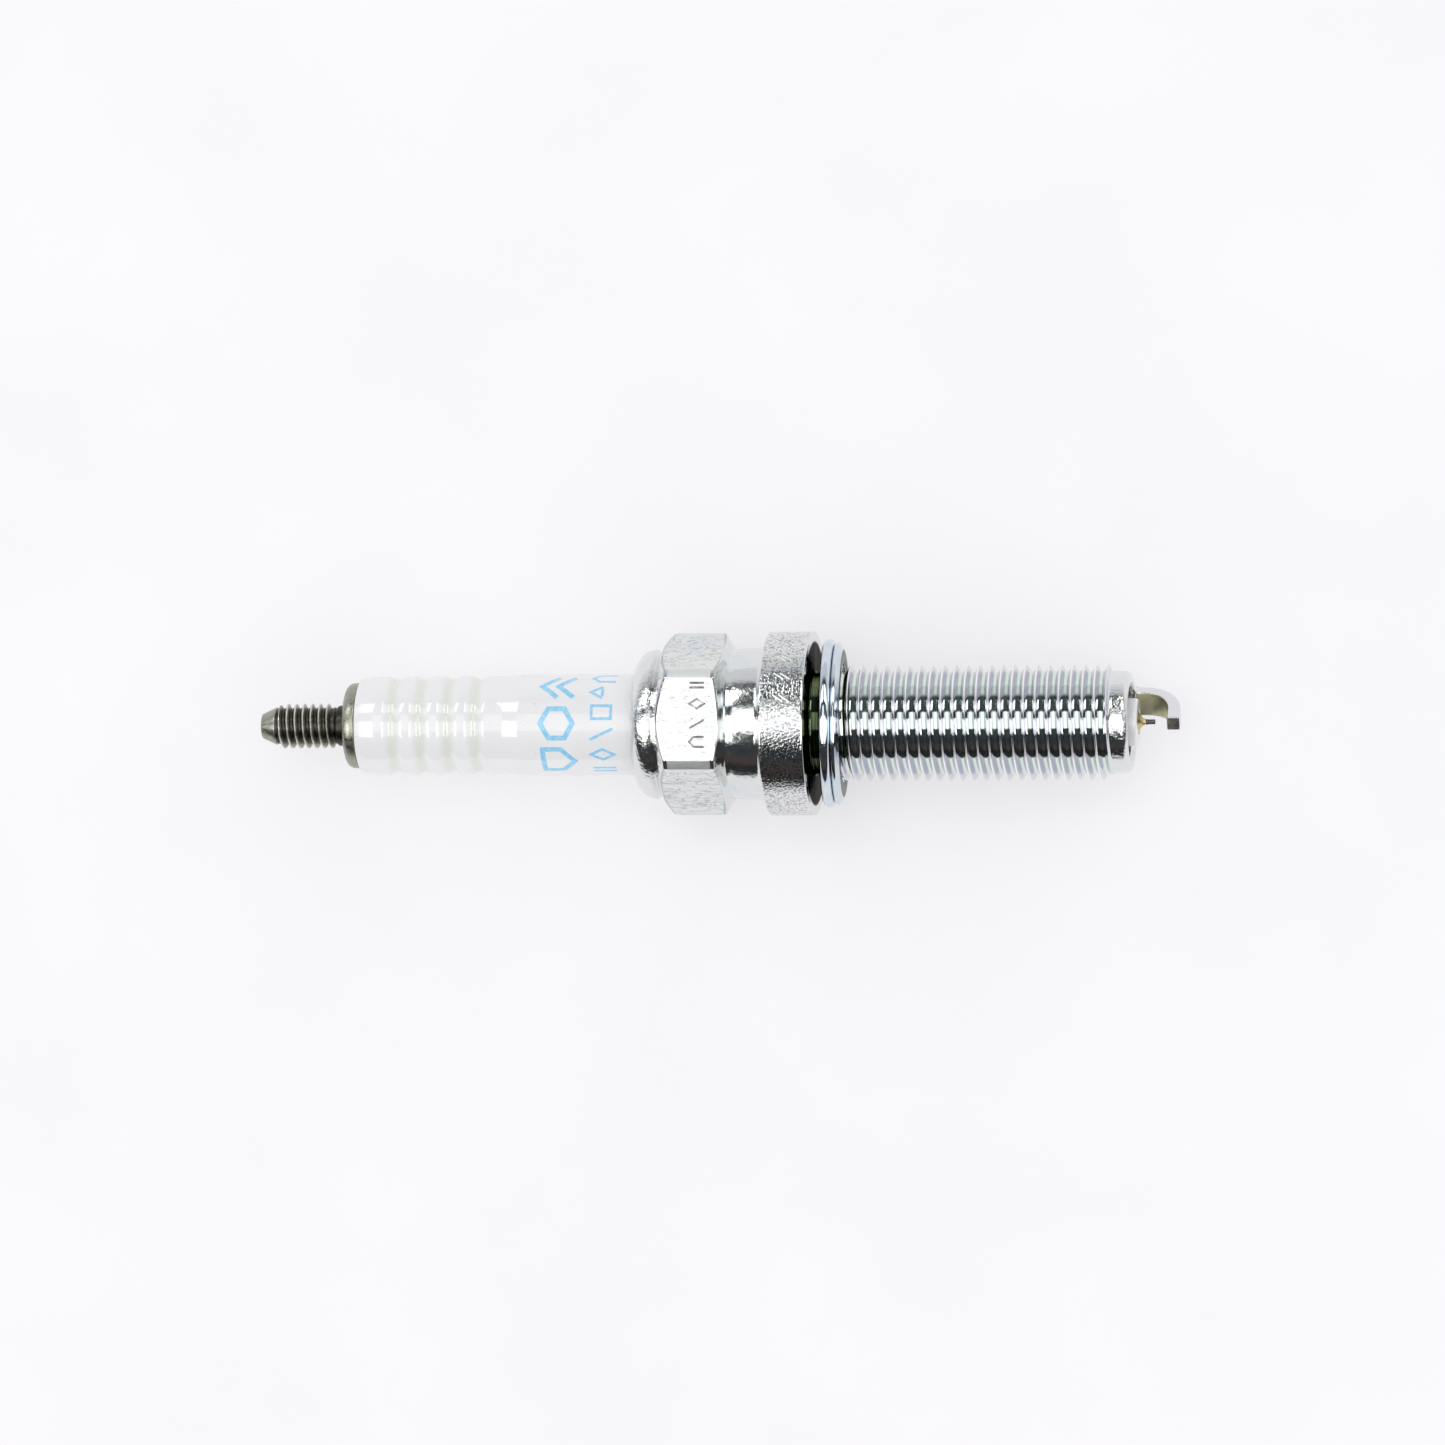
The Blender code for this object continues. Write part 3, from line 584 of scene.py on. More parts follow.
def ribbed_outline():
    """The insulator's side along its ribs, as cosine grooves with rounded lands between them."""
    steps = 12
    points = []
    for centre in GROOVE_STATIONS:
        for i in range(steps + 1):
            offset = GROOVE_HALF_WIDTH * (1 - 2 * i / steps)
            depth = GROOVE_DEPTH * (1 + cos(pi * offset / GROOVE_HALF_WIDTH)) / 2
            points.append((centre + offset, RIB_RADIUS - depth))
    return points


def insulator(material):
    """Glazed alumina body with its long nose, barrel, ribs and stepped bore. The mark is the
    depth in the grooves."""
    outline = [
        (INSULATOR_TIP, 2.0 * MM, 0.3 * MM),
        (14.0 * MM, 2.75 * MM, 0.3 * MM),
        (13.2 * MM, 3.6 * MM, 0.15 * MM),
        (-2.4 * MM, 3.6 * MM),
        (-3.9 * MM, 5.2 * MM, 0.2 * MM),
        (-9.8 * MM, 5.2 * MM, 0.2 * MM),
        (-10.2 * MM, BARREL_RADIUS),
        (BARREL_END, BARREL_RADIUS, 0.12 * MM),
        (-26.65 * MM, RIB_RADIUS - 0.035 * MM, 0.15 * MM),
        (-27.4 * MM, RIB_RADIUS - 0.06 * MM, 0.3 * MM),
        *ribbed_outline(),
        (-37.86 * MM, RIB_RADIUS, 0.12 * MM),
        (-39.05 * MM, RIB_RADIUS - 0.125 * MM, 0.1 * MM),
        (HEAD_END + 0.12 * MM, HEAD_RADIUS, 0.08 * MM),
        (HEAD_END, HEAD_RADIUS - 0.15 * MM, 0.08 * MM),
        (HEAD_END, WIDE_BORE),
        (BORE_STEP, WIDE_BORE),
        (BORE_STEP + WIDE_BORE - NARROW_BORE, NARROW_BORE),
        (INSULATOR_TIP, NARROW_BORE, 0.08 * MM),
    ]
    turns = even_turns(144)
    ribs_back = GROOVE_STATIONS[-1] - GROOVE_HALF_WIDTH
    ribs_front = GROOVE_STATIONS[0] + GROOVE_HALF_WIDTH
    rows = []
    for point in softened(outline, steps=5):
        depth = 0.0
        if ribs_back < point.x < ribs_front:
            depth = max(0.0, min(1.0, (RIB_RADIUS - point.y) / GROOVE_DEPTH))
        rows.append([(point.x, point.y, depth)] * len(turns))
    body = skin("glazed_insulator", rows, turns)
    finish_piece(body, material, "insulator")


def terminal_stud(material):
    """Steel stud with its M4 end, its disc collar and the shank inside the insulator. The mark is
    0 on the neck and in the thread's roots, which get painted shade."""
    # Mark for the shank, collar and tip, which get a lighter shade than the painted-shade neck
    lighter_mark = 0.7
    turns = even_turns(96)
    shank = [
        (STUD_FRONT, 0.0),
        (STUD_FRONT, KNURL_RADIUS, 0.2 * MM),
        (SHANK_END, KNURL_RADIUS),
        (SHANK_END - 0.3 * MM, SHANK_RADIUS),
        (COLLAR_FRONT, SHANK_RADIUS),
    ]
    collar = [
        (COLLAR_FRONT, COLLAR_RADIUS, 0.15 * MM),
        (COLLAR_FRONT - 0.3 * MM, COLLAR_RADIUS, 0.1 * MM),
        (COLLAR_BACK, COLLAR_RADIUS, 0.75 * MM),
        (COLLAR_BACK, STUD_NECK_RADIUS + 0.3 * MM),
    ]
    neck = [
        (COLLAR_BACK, STUD_NECK_RADIUS, 0.08 * MM),
        (STUD_THREAD_FRONT + 0.25 * MM, STUD_NECK_RADIUS, 0.1 * MM),
        (STUD_THREAD_FRONT, STUD_ROOT_RADIUS),
    ]
    tip = [
        (STUD_THREAD_BACK, STUD_ROOT_RADIUS),
        (STUD_THREAD_BACK - 0.1 * MM, STUD_NECK_RADIUS - 0.12 * MM, 0.08 * MM),
        (TERMINAL_END, STUD_TIP_RADIUS, 0.1 * MM),
        (TERMINAL_END, 0.0),
    ]
    rows = plain_rows(shank + collar, turns, lighter_mark, steps=6)
    rows += plain_rows(neck, turns)
    rows += thread_rows(STUD_THREAD, turns)
    rows += plain_rows(tip, turns, lighter_mark)
    stud = skin("steel_terminal", rows, turns, closed=False)
    finish_piece(stud, material, "terminal_stud")


def gasket_outline():
    """Section of the folded gasket about its middle: two rounded lobes and a flat seat in front."""
    fold = 0.09 * MM
    back_half = (fold + GASKET_HALF) / 2
    back_lobe = arc(back_half - GASKET_HALF, 6.76 * MM, back_half, 0.44 * MM, 20, 180, 10)
    front_lobe = arc(fold + 0.3 * MM, 6.55 * MM, 0.3 * MM, 0.4 * MM, 70, 168, 7)
    return [
        (GASKET_HALF, 5.12 * MM, 0.1 * MM),
        (GASKET_HALF, 6.25 * MM, 0.12 * MM),
        *front_lobe,
        (fold, 6.6 * MM),
        *back_lobe,
        (-GASKET_HALF, 5.35 * MM, 0.2 * MM),
        (0.35 * MM - GASKET_HALF, 5.1 * MM, 0.15 * MM),
    ]


def sealing_gasket(material):
    """Folded steel ring that floats behind the thread, with the claws that keep it there. The
    mark is 1 on the flat seat."""
    outline = [(GASKET_MIDDLE + corner[0], *corner[1:]) for corner in gasket_outline()]
    turns = even_turns(144)
    seat = GASKET_MIDDLE + GASKET_HALF - 0.03 * MM
    rows = []
    for point in softened(outline, steps=4):
        on_seat = point.x > seat
        rows.append([(point.x, point.y, float(on_seat))] * len(turns))
    ring = skin("folded_gasket", rows, turns)
    solid = bmesh.new()
    solid.from_mesh(ring.data)
    for turn in CLAW_TURNS:
        made = bmesh.ops.create_cube(solid, size=1.0)["verts"]
        for vertex in made:
            station = CLAW_STATION + vertex.co.z * CLAW_LENGTH
            radius = CLAW_RADIUS + vertex.co.x * CLAW_HEIGHT
            across = vertex.co.y * CLAW_WIDTH
            vertex.co = at(station, radius, radians(turn) + across / radius)
        edges = {edge for vertex in made for edge in vertex.link_edges}
        bmesh.ops.bevel(solid, geom=list(edges), offset=CLAW_ROUNDING, segments=3, affect="EDGES")
    lean = Matrix.Rotation(GASKET_LEAN, 3, "Y")
    bmesh.ops.rotate(solid, cent=at(GASKET_MIDDLE, 0, 0), matrix=lean, verts=solid.verts)
    solid.to_mesh(ring.data)
    solid.free()
    finish_piece(ring, material, "sealing_gasket", body="gasket")


def strap_path():
    """Middle line of the ground electrode as (radius, station, tilt), from weld to free end."""
    bend_start = STRAP_REACH - STRAP_THICKNESS / 2 - STRAP_BEND_RADIUS
    bend_centre = STRAP_RADIUS - STRAP_BEND_RADIUS
    leg_steps, bend_steps, end_steps = 8, 16, 4
    path = []
    for i in range(leg_steps):
        share = i / leg_steps
        path.append((STRAP_RADIUS, STRAP_BACK + (bend_start - STRAP_BACK) * share, 0.0))
    for i in range(bend_steps + 1):
        tilt = pi / 2 * i / bend_steps
        radius = bend_centre + STRAP_BEND_RADIUS * cos(tilt)
        path.append((radius, bend_start + STRAP_BEND_RADIUS * sin(tilt), tilt))
    for i in range(1, end_steps + 1):
        radius = bend_centre - (bend_centre + STRAP_PAST_AXIS) * i / end_steps
        path.append((radius, STRAP_REACH - STRAP_THICKNESS / 2, pi / 2))
    return path


def rounded_rectangle(width, height, rounding, steps=3):
    """Corners of a rectangle with rounded corners, as (across, along) about its middle."""
    points = []
    for quarter in range(4):
        x = (width / 2 - rounding) * (1 if quarter in (0, 3) else -1)
        y = (height / 2 - rounding) * (1 if quarter in (0, 1) else -1)
        for share in shares(steps):
            angle = pi / 2 * (quarter + share)
            points.append((x + rounding * cos(angle), y + rounding * sin(angle)))
    return points


def ground_electrode(material):
    """Flat strap bent over the tip and narrowing towards its free end, with its weld beads. The
    mark is 1 on the inner face."""
    outward = Vector((0, sin(STRAP_TURN), cos(STRAP_TURN)))
    sideways = Vector((0, cos(STRAP_TURN), -sin(STRAP_TURN)))
    solid = bmesh.new()
    marks = solid.verts.layers.float.new("mark")
    rings = []
    for radius, station, tilt in strap_path():
        share = min(1.0, max(0.0, (STRAP_RADIUS - radius) / STRAP_RADIUS))
        width = STRAP_WIDTH + (STRAP_TIP_WIDTH - STRAP_WIDTH) * share
        flare = 1 + WELD_FLARE * exp(-(station - STRAP_BACK) / WELD_FLARE_LENGTH)
        across = outward * cos(tilt) + Vector((1, 0, 0)) * sin(tilt)
        middle = at(station, 0, 0) + outward * radius
        ring = []
        for x, y in rounded_rectangle(STRAP_THICKNESS * flare, width * flare, STRAP_ROUNDING):
            vertex = solid.verts.new(middle + across * x + sideways * y)
            vertex[marks] = 1.0 if x < -0.47 * STRAP_THICKNESS * flare else 0.0
            ring.append(vertex)
        rings.append(ring)
    add_tube(solid, rings)
    solid.faces.new(rings[0])
    end = solid.faces.new(rings[-1])
    bmesh.ops.bevel(solid, geom=list(end.edges), offset=0.07 * MM, segments=2, affect="EDGES")
    draw = random.Random(BEAD_SEED)
    for number in range(BEAD_COUNT):
        offset = (number / (BEAD_COUNT - 1) - 0.5) * STRAP_WIDTH * BEAD_SPREAD
        size = draw.uniform(*BEAD_RADII) * MM
        inwards = draw.choice((-1, 1)) * STRAP_THICKNESS * draw.uniform(0.45, 0.62)
        centre = at(STRAP_BACK + 0.02 * MM, 0, 0) + outward * (STRAP_RADIUS + inwards)
        centre += sideways * offset
        bead = bmesh.ops.create_icosphere(solid, subdivisions=3, radius=size)["verts"]
        for vertex in bead:
            vertex.co = centre + Vector((vertex.co.x * 0.7, vertex.co.y, vertex.co.z * 1.1))
    strap = new_object("strap_electrode", solid)
    finish_piece(strap, material, "ground_electrode")


def center_electrode(material):
    """Nickel alloy electrode, drawn out to a fine flared tip, round its copper core."""
    flare_start = INSULATOR_TIP - 0.05 * MM
    flare = []
    for share in shares(12):
        radius = ELECTRODE_TIP_RADIUS + (ELECTRODE_RADIUS - ELECTRODE_TIP_RADIUS) * share**2
        flare.append((ELECTRODE_TIP + (flare_start - ELECTRODE_TIP) * share, radius))
    cone_end = HEAD_STATION + 1.2 * MM
    outline = [
        (ELECTRODE_TIP, 0.0),
        *flare,
        (cone_end, ELECTRODE_RADIUS),
        (cone_end - ELECTRODE_HEAD_RADIUS + ELECTRODE_RADIUS, ELECTRODE_HEAD_RADIUS, 0.1 * MM),
        (HEAD_STATION, ELECTRODE_HEAD_RADIUS, 0.1 * MM),
        (HEAD_STATION, ELECTRODE_RADIUS),
        (ELECTRODE_TOP, ELECTRODE_RADIUS, 0.08 * MM),
        (ELECTRODE_TOP, CORE_BORE),
        (CORE_BORE_END, CORE_BORE),
        (CORE_BORE_END + 0.55 * MM, 0.0),
    ]
    wire = turned("center_wire", outline, columns=64)
    finish_piece(wire, material, "center_electrode")


def iridium_tip(material):
    """Fine iridium pin with the collar of its laser weld."""
    outline = [
        (IRIDIUM_END, 0.0),
        (IRIDIUM_END, IRIDIUM_RADIUS - 0.01 * MM, 0.04 * MM),
        (IRIDIUM_BACK + 0.16 * MM, IRIDIUM_RADIUS - 0.01 * MM, 0.05 * MM),
        (IRIDIUM_BACK + 0.1 * MM, IRIDIUM_RADIUS + 0.03 * MM, 0.03 * MM),
        (IRIDIUM_BACK, IRIDIUM_RADIUS + 0.02 * MM),
        (IRIDIUM_BACK, 0.0),
    ]
    pin = turned("iridium_pin", outline, columns=48)
    finish_piece(pin, material, "iridium_tip")


# ---- materials

WHITE = (1.0, 1.0, 1.0)


def feed(tree, socket, value):
    """Gives a shader input a value, or links another node's output to it."""
    if isinstance(value, bpy.types.NodeSocket):
        tree.links.new(value, socket)
    else:
        socket.default_value = value


def add_node(tree, kind, inputs=None, **settings):
    """A new shader node with its settings, and with its inputs fed."""
    node = tree.nodes.new("ShaderNode" + kind)
    for name, value in settings.items():
        setattr(node, name, value)
    for name, value in (inputs or {}).items():
        feed(tree, node.inputs[name], value)
    return node


def add_ramp(tree, value, stops):
    """The colour that a ramp with (position, colour) stops gives for a value."""
    ramp = add_node(tree, "ValToRGB", {"Fac": value})
    elements = ramp.color_ramp.elements
    while len(elements) < len(stops):
        elements.new(1.0)
    for element, (position, colour) in zip(elements, stops):
        element.position = position
        element.color = (*colour, 1.0)
    return ramp.outputs["Color"]


def opaque(colour):
    """A colour with its alpha. A node's output stays as it is."""
    return colour if isinstance(colour, bpy.types.NodeSocket) else (*colour, 1.0)


class Finish:
    """A material being built: its Principled shader and short calls for the nodes that feed it."""

    def __init__(self, name, **uniform):
        self.material = bpy.data.materials.new(name)
        self.material.use_nodes = True
        self.tree = self.material.node_tree
        self.shader = self.tree.nodes["Principled BSDF"]
        self.place = self.node("TexCoord").outputs["Object"]
        for socket, value in uniform.items():
            self.set(socket.replace("_", " "), value)

    def node(self, kind, inputs=None, **settings):
        return add_node(self.tree, kind, inputs, **settings)

    def set(self, socket, value):
        feed(self.tree, self.shader.inputs[socket], value)

    def noise(self, size, detail=2.0, stretch=(1, 1, 1), distortion=0.0):
        """Soft noise with features of that size in metres, stretched along each axis."""
        scale = [1 / each for each in stretch]
        inputs = {
            "Vector": self.node("Mapping", {"Vector": self.place, "Scale": scale}).outputs[0],
            "Scale": 1 / size,
            "Detail": detail,
            "Distortion": distortion,
        }
        return self.node("TexNoise", inputs).outputs["Fac"]

    def math(self, operation, first, second=0.0):
        return self.node("Math", {0: first, 1: second}, operation=operation).outputs[0]

    def times(self, first, *others):
        for other in others:
            first = self.math("MULTIPLY", first, other)
        return first

    def plus(self, first, *others):
        for other in others:
            first = self.math("ADD", first, other)
        return first

    def between(self, value, low, high, to_low=0.0, to_high=1.0):
        """The value mapped smoothly from one range to another, and held at its ends."""
        inputs = {"Value": value, "From Min": low, "From Max": high}
        inputs.update({"To Min": to_low, "To Max": to_high})
        mapped = self.node("MapRange", inputs, interpolation_type="SMOOTHSTEP")
        return mapped.outputs["Result"]

    def under(self, value, low, high):
        """1 where the value is under low, and 0 where it is over high."""
        return self.between(value, low, high, 1.0, 0.0)

    def stretch_mask(self, back, front, soft=0.1 * MM):
        """1 between two stations and 0 outside them."""
        x = self.node("SeparateXYZ", {"Vector": self.place}).outputs["X"]
        enters = self.between(x, DATUM_X + back - soft, DATUM_X + back + soft)
        leaves = self.between(x, DATUM_X + front + soft, DATUM_X + front - soft)
        return self.times(enters, leaves)

    def ramp(self, value, *stops):
        """The colour that (position, colour) stops give for a value."""
        return add_ramp(self.tree, value, stops)

    def mix(self, share, first, second):
        """A mix of two colours, each (red, green, blue) or a node's output."""
        inputs = {0: share, 6: opaque(first), 7: opaque(second)}
        return self.node("Mix", inputs, data_type="RGBA").outputs[2]

    def bump(self, height, depth, under=None):
        """A normal for relief that is depth metres high."""
        inputs = {"Height": height, "Distance": depth, "Strength": 1.0}
        if under is not None:
            inputs["Normal"] = under
        return self.node("Bump", inputs).outputs["Normal"]

    def mark(self):
        return self.node("Attribute", attribute_name="mark").outputs["Fac"]


# Surface detail of the shell's plating: the size of its features and their height
PEEL_SIZE, PEEL_RELIEF = 0.5 * MM, 0.0018 * MM
GRAIN_SIZE, GRAIN_RELIEF = 0.21 * MM, 0.039 * MM
WAVE_SIZE, WAVE_RELIEF = 0.3 * MM, 0.018 * MM
CREASE_SIZE, CREASE_RELIEF = 0.7 * MM, 0.008 * MM
TURNING_LINES = 0.16 * MM

# How much of the flange's grain and of the waves the other regions have
GRAIN_ON_ENDS, GRAIN_ON_NECK = 0.55, 0.2
WAVES_ON_ENDS, WAVES_ON_NECK = 2.0, 0.7

# Where the shell's regions end: stations, radii and distances to either side of the axis
NECK_BACK = -7.3 * MM
GAP_RADII = (6.85 * MM, 7.1 * MM)
GAP_SIDES = (2.0 * MM, 5.5 * MM)
PUNCHED_SIDES = (3.5 * MM, 3.55 * MM)
CREASED_RADII = (7.5 * MM, 7.65 * MM)
CORNER_RADII = (7.66 * MM, 7.72 * MM)


class ShellRegions:
    """Masks of the shell's regions, each 1 inside and 0 outside, with the height over the axis and
    the distance aside of it."""

    def __init__(self, zinc):
        mask = zinc.stretch_mask
        self.thread = mask(THREAD_BACK + 0.3 * MM, THREAD_FRONT - 0.3 * MM, 0.2 * MM)
        self.flange = mask(FLANGE_BACK + 0.12 * MM, FLANGE_FRONT - 0.12 * MM, 0.06 * MM)
        self.hexagon = mask(BACK_CORNER - 0.6 * MM, FRONT_CORNER + 0.2 * MM)
        self.flats = mask(BACK_CORNER + 0.3 * MM, FRONT_CORNER - 0.3 * MM)
        self.neck = mask(NECK_BACK, FLANGE_BACK - 0.2 * MM)
        self.nose = mask(THREAD_FRONT, THREAD_REACH + 0.2 * MM)
        self.crimp = mask(SHELL_BACK - 0.2 * MM, CRIMP_START + 0.2 * MM)
        in_front = mask(FLANGE_FRONT - 0.06 * MM, THREAD_BACK - 0.2 * MM, 0.05 * MM)

        axes = zinc.node("SeparateXYZ", {"Vector": zinc.place}).outputs
        self.height = zinc.math("SUBTRACT", axes["Z"], AXIS_Z)
        from_middle = zinc.math("SUBTRACT", axes["Y"], AXIS_Y)
        squares = (zinc.math("POWER", self.height, 2.0), zinc.math("POWER", from_middle, 2.0))
        radius = zinc.math("SQRT", zinc.plus(*squares))
        self.aside = zinc.math("ABSOLUTE", from_middle)

        # The gap behind the gasket, which gets painted shade
        self.gap = zinc.times(in_front, zinc.under(radius, *GAP_RADII))
        self.corners = zinc.times(self.flats, zinc.between(radius, *CORNER_RADII))
        self.creased = zinc.times(self.hexagon, zinc.under(radius, *CREASED_RADII))

        # Recesses of the punched marks, which get painted grey shade
        above = zinc.between(self.height, FLAT_RADIUS - 0.3 * MM, FLAT_RADIUS - 0.28 * MM)
        below = zinc.under(self.height, FLAT_RADIUS - 0.07 * MM, FLAT_RADIUS - 0.01 * MM)
        amid = zinc.under(self.aside, *PUNCHED_SIDES)
        self.punched = zinc.times(above, below, amid, self.flats)

        # Engraved strokes: painted shade on their rims and a painted highlight at their bottoms
        stroke_depth, rim_depth, full = (FLANGE_RADIUS - d * MM for d in (0.07, 0.03, 0.01))
        uncut = zinc.between(radius, rim_depth, full)
        self.stroked = zinc.times(zinc.under(radius, stroke_depth, rim_depth), self.flange)
        self.stroke_rim_shade = zinc.times(zinc.math("SUBTRACT", 1.0, uncut), self.flange)
        self.grainy = zinc.times(uncut, self.flange)


def zinc_finish():
    """Bright zinc plating: near-mirror and faintly coloured. On the thread it is greenish in the
    roots, with painted shade on the flanks and a painted highlight on the crests. Painted shade,
    near black, fills the gap behind the gasket and dims its reflections there. It is grainy on the
    flange and less so at the crimp, the neck and the nose, wrinkled on the hexagon with painted
    shade in the creases and along the edges, and has painted grey shade in the punched marks,
    painted shade on the strokes' rims and a painted highlight in the strokes."""
    zinc = Finish("zinc_plating", Metallic=1.0, Thin_Film_Thickness=230.0, Thin_Film_IOR=1.45)
    on = ShellRegions(zinc)
    plating = zinc.ramp(
        zinc.noise(2.2 * MM, 3.0),
        (0.3, (0.70, 0.74, 0.78)),
        (0.5, (0.76, 0.78, 0.75)),
        (0.7, (0.76, 0.74, 0.79)),
    )
    # Thread colour by height: greenish roots, painted shade on flanks, painted highlight on crests
    painted_thread_shading = zinc.ramp(
        zinc.mark(),
        (0.0, (0.72, 0.79, 0.74)),
        (0.2, (0.58, 0.63, 0.67)),
        (0.6, (0.70, 0.67, 0.76)),
        (0.9, (0.74, 0.74, 0.76)),
        (1.0, (0.97, 0.97, 0.97)),
    )
    # Painted shade in the gap: dark green along the turning lines, near black towards the sides
    turning = zinc.between(zinc.noise(TURNING_LINES, 1.0, stretch=(1, 60, 60)), 0.4, 0.6)
    turned_gap_shade = zinc.mix(turning, (0.03, 0.04, 0.025), (0.15, 0.20, 0.10))
    gap_shade = zinc.mix(zinc.between(on.aside, *GAP_SIDES), turned_gap_shade, (0.012, 0.011, 0.01))

    # Wrinkles on the hexagon: relief, and painted shade along the creases, fainter on the top flat
    wrinkle = zinc.noise(CREASE_SIZE, 3.0, stretch=(2.6, 1, 1), distortion=1.6)
    ridge = zinc.math("ABSOLUTE", zinc.math("SUBTRACT", wrinkle, 0.5))
    crease = zinc.times(zinc.under(ridge, 0.0, 0.034), on.creased)
    on_top = (FLAT_RADIUS - 0.1 * MM, FLAT_RADIUS - 0.02 * MM)
    fainter_on_top = zinc.between(on.height, *on_top, 0.55, 0.22)
    # Painted shade along the middle of the hexagon's rounded edges
    edges = zinc.times(zinc.mark(), on.hexagon)
    speckle = zinc.noise(GRAIN_SIZE, 2.5)
    dark_grain = zinc.between(speckle, 0.38, 0.52, 0.6, 0.0)

    colour = zinc.mix(on.thread, plating, painted_thread_shading)
    # Painted shade and highlights laid over the plating, and the flange's dark grain
    shades = (
        (on.gap, gap_shade),
        (zinc.times(crease, fainter_on_top), (0.26, 0.27, 0.29)),
        (zinc.times(edges, 0.6), (0.24, 0.24, 0.27)),
        (zinc.times(dark_grain, on.grainy), (0.16, 0.17, 0.19)),
        (on.punched, (0.40, 0.39, 0.39)),
        (on.stroke_rim_shade, (0.16, 0.16, 0.17)),
        (on.stroked, (0.98, 0.98, 0.96)),
    )
    for share, shade in shades:
        colour = zinc.mix(share, colour, shade)
    zinc.set("Base Color", colour)
    # Painted shade: reflections in the gap are dimmed
    zinc.set("Specular Tint", zinc.mix(on.gap, WHITE, (0.15, 0.14, 0.13)))

    ends = zinc.plus(on.crimp, on.nose)
    elsewhere = (zinc.times(ends, GRAIN_ON_ENDS), zinc.times(on.neck, GRAIN_ON_NECK))
    grain = zinc.plus(on.grainy, *elsewhere)
    uneven = zinc.plus(zinc.times(on.neck, WAVES_ON_NECK), zinc.times(ends, WAVES_ON_ENDS))
    waves = zinc.times(zinc.noise(WAVE_SIZE, 5.0, stretch=(1.6, 1, 1)), uneven)
    normal = zinc.bump(zinc.noise(PEEL_SIZE, 2.0), PEEL_RELIEF)
    normal = zinc.bump(zinc.times(speckle, grain), GRAIN_RELIEF, normal)
    normal = zinc.bump(waves, WAVE_RELIEF, normal)
    zinc.set("Normal", zinc.bump(crease, CREASE_RELIEF, normal))

    satin = zinc.between(zinc.noise(PEEL_SIZE, 3.0), 0.3, 0.7, 0.05, 0.12)
    worn = zinc.plus(on.corners, zinc.times(on.neck, 0.1), on.stroked)
    zinc.set("Roughness", zinc.plus(satin, zinc.times(worn, 0.4)))
    return zinc.material


def gasket_finish():
    """Zinc plating on pressed steel strip, a little bluer than the shell's, olive on the seat."""
    zinc = Finish("gasket_plating", Metallic=1.0, Thin_Film_Thickness=190.0, Thin_Film_IOR=1.45)
    tints = ((0.3, (0.60, 0.68, 0.76)), (0.7, (0.72, 0.76, 0.78)))
    plating = zinc.ramp(zinc.noise(1.4 * MM, 3.0), *tints)
    zinc.set("Base Color", zinc.mix(zinc.mark(), plating, (0.20, 0.22, 0.17)))
    zinc.set("Specular Tint", zinc.mix(zinc.mark(), WHITE, (0.24, 0.27, 0.22)))
    zinc.set("Normal", zinc.bump(zinc.noise(0.3 * MM, 2.0), 0.0025 * MM))
    zinc.set("Roughness", zinc.between(zinc.noise(0.4 * MM, 2.0), 0.3, 0.7, 0.07, 0.15))
    return zinc.material


def glaze_finish():
    """White alumina under a clear glaze, with a few specks, and a faint painted greenish shade
    deeper in the grooves."""
    coat = {"Coat_Weight": 1.0, "Coat_Roughness": 0.045, "Coat_IOR": 1.5}
    glaze = Finish("white_glaze", Roughness=0.35, IOR=1.5, **coat)
    whites = ((0.3, (0.785, 0.79, 0.795)), (0.7, (0.82, 0.825, 0.83)))
    clear = glaze.ramp(glaze.noise(3.0 * MM, 3.0), *whites)
    specks = glaze.between(glaze.noise(0.28 * MM, 1.0), 0.74, 0.8, 0.0, 0.5)
    body = glaze.mix(specks, clear, (0.52, 0.50, 0.46))
    # Painted greenish shade, deeper in the grooves
    groove_shade = glaze.between(glaze.mark(), 0.1, 1.0)
    glaze.set("Base Color", glaze.mix(groove_shade, body, (0.74, 0.765, 0.70)))
    glaze.set("Coat Normal", glaze.bump(glaze.noise(1.8 * MM, 2.0), 0.0015 * MM))
    return glaze.material


def ink_finish():
    """Light blue print fired on the glaze, slightly uneven."""
    ink = Finish("blue_print", Roughness=0.3, Coat_Weight=0.6, Coat_Roughness=0.08)
    blues = ((0.35, (0.22, 0.56, 0.82)), (0.65, (0.36, 0.67, 0.88)))
    ink.set("Base Color", ink.ramp(ink.noise(0.35 * MM, 3.0), *blues))
    ink.set("Normal", ink.bump(ink.noise(0.08 * MM, 2.0), 0.002 * MM))
    return ink.material


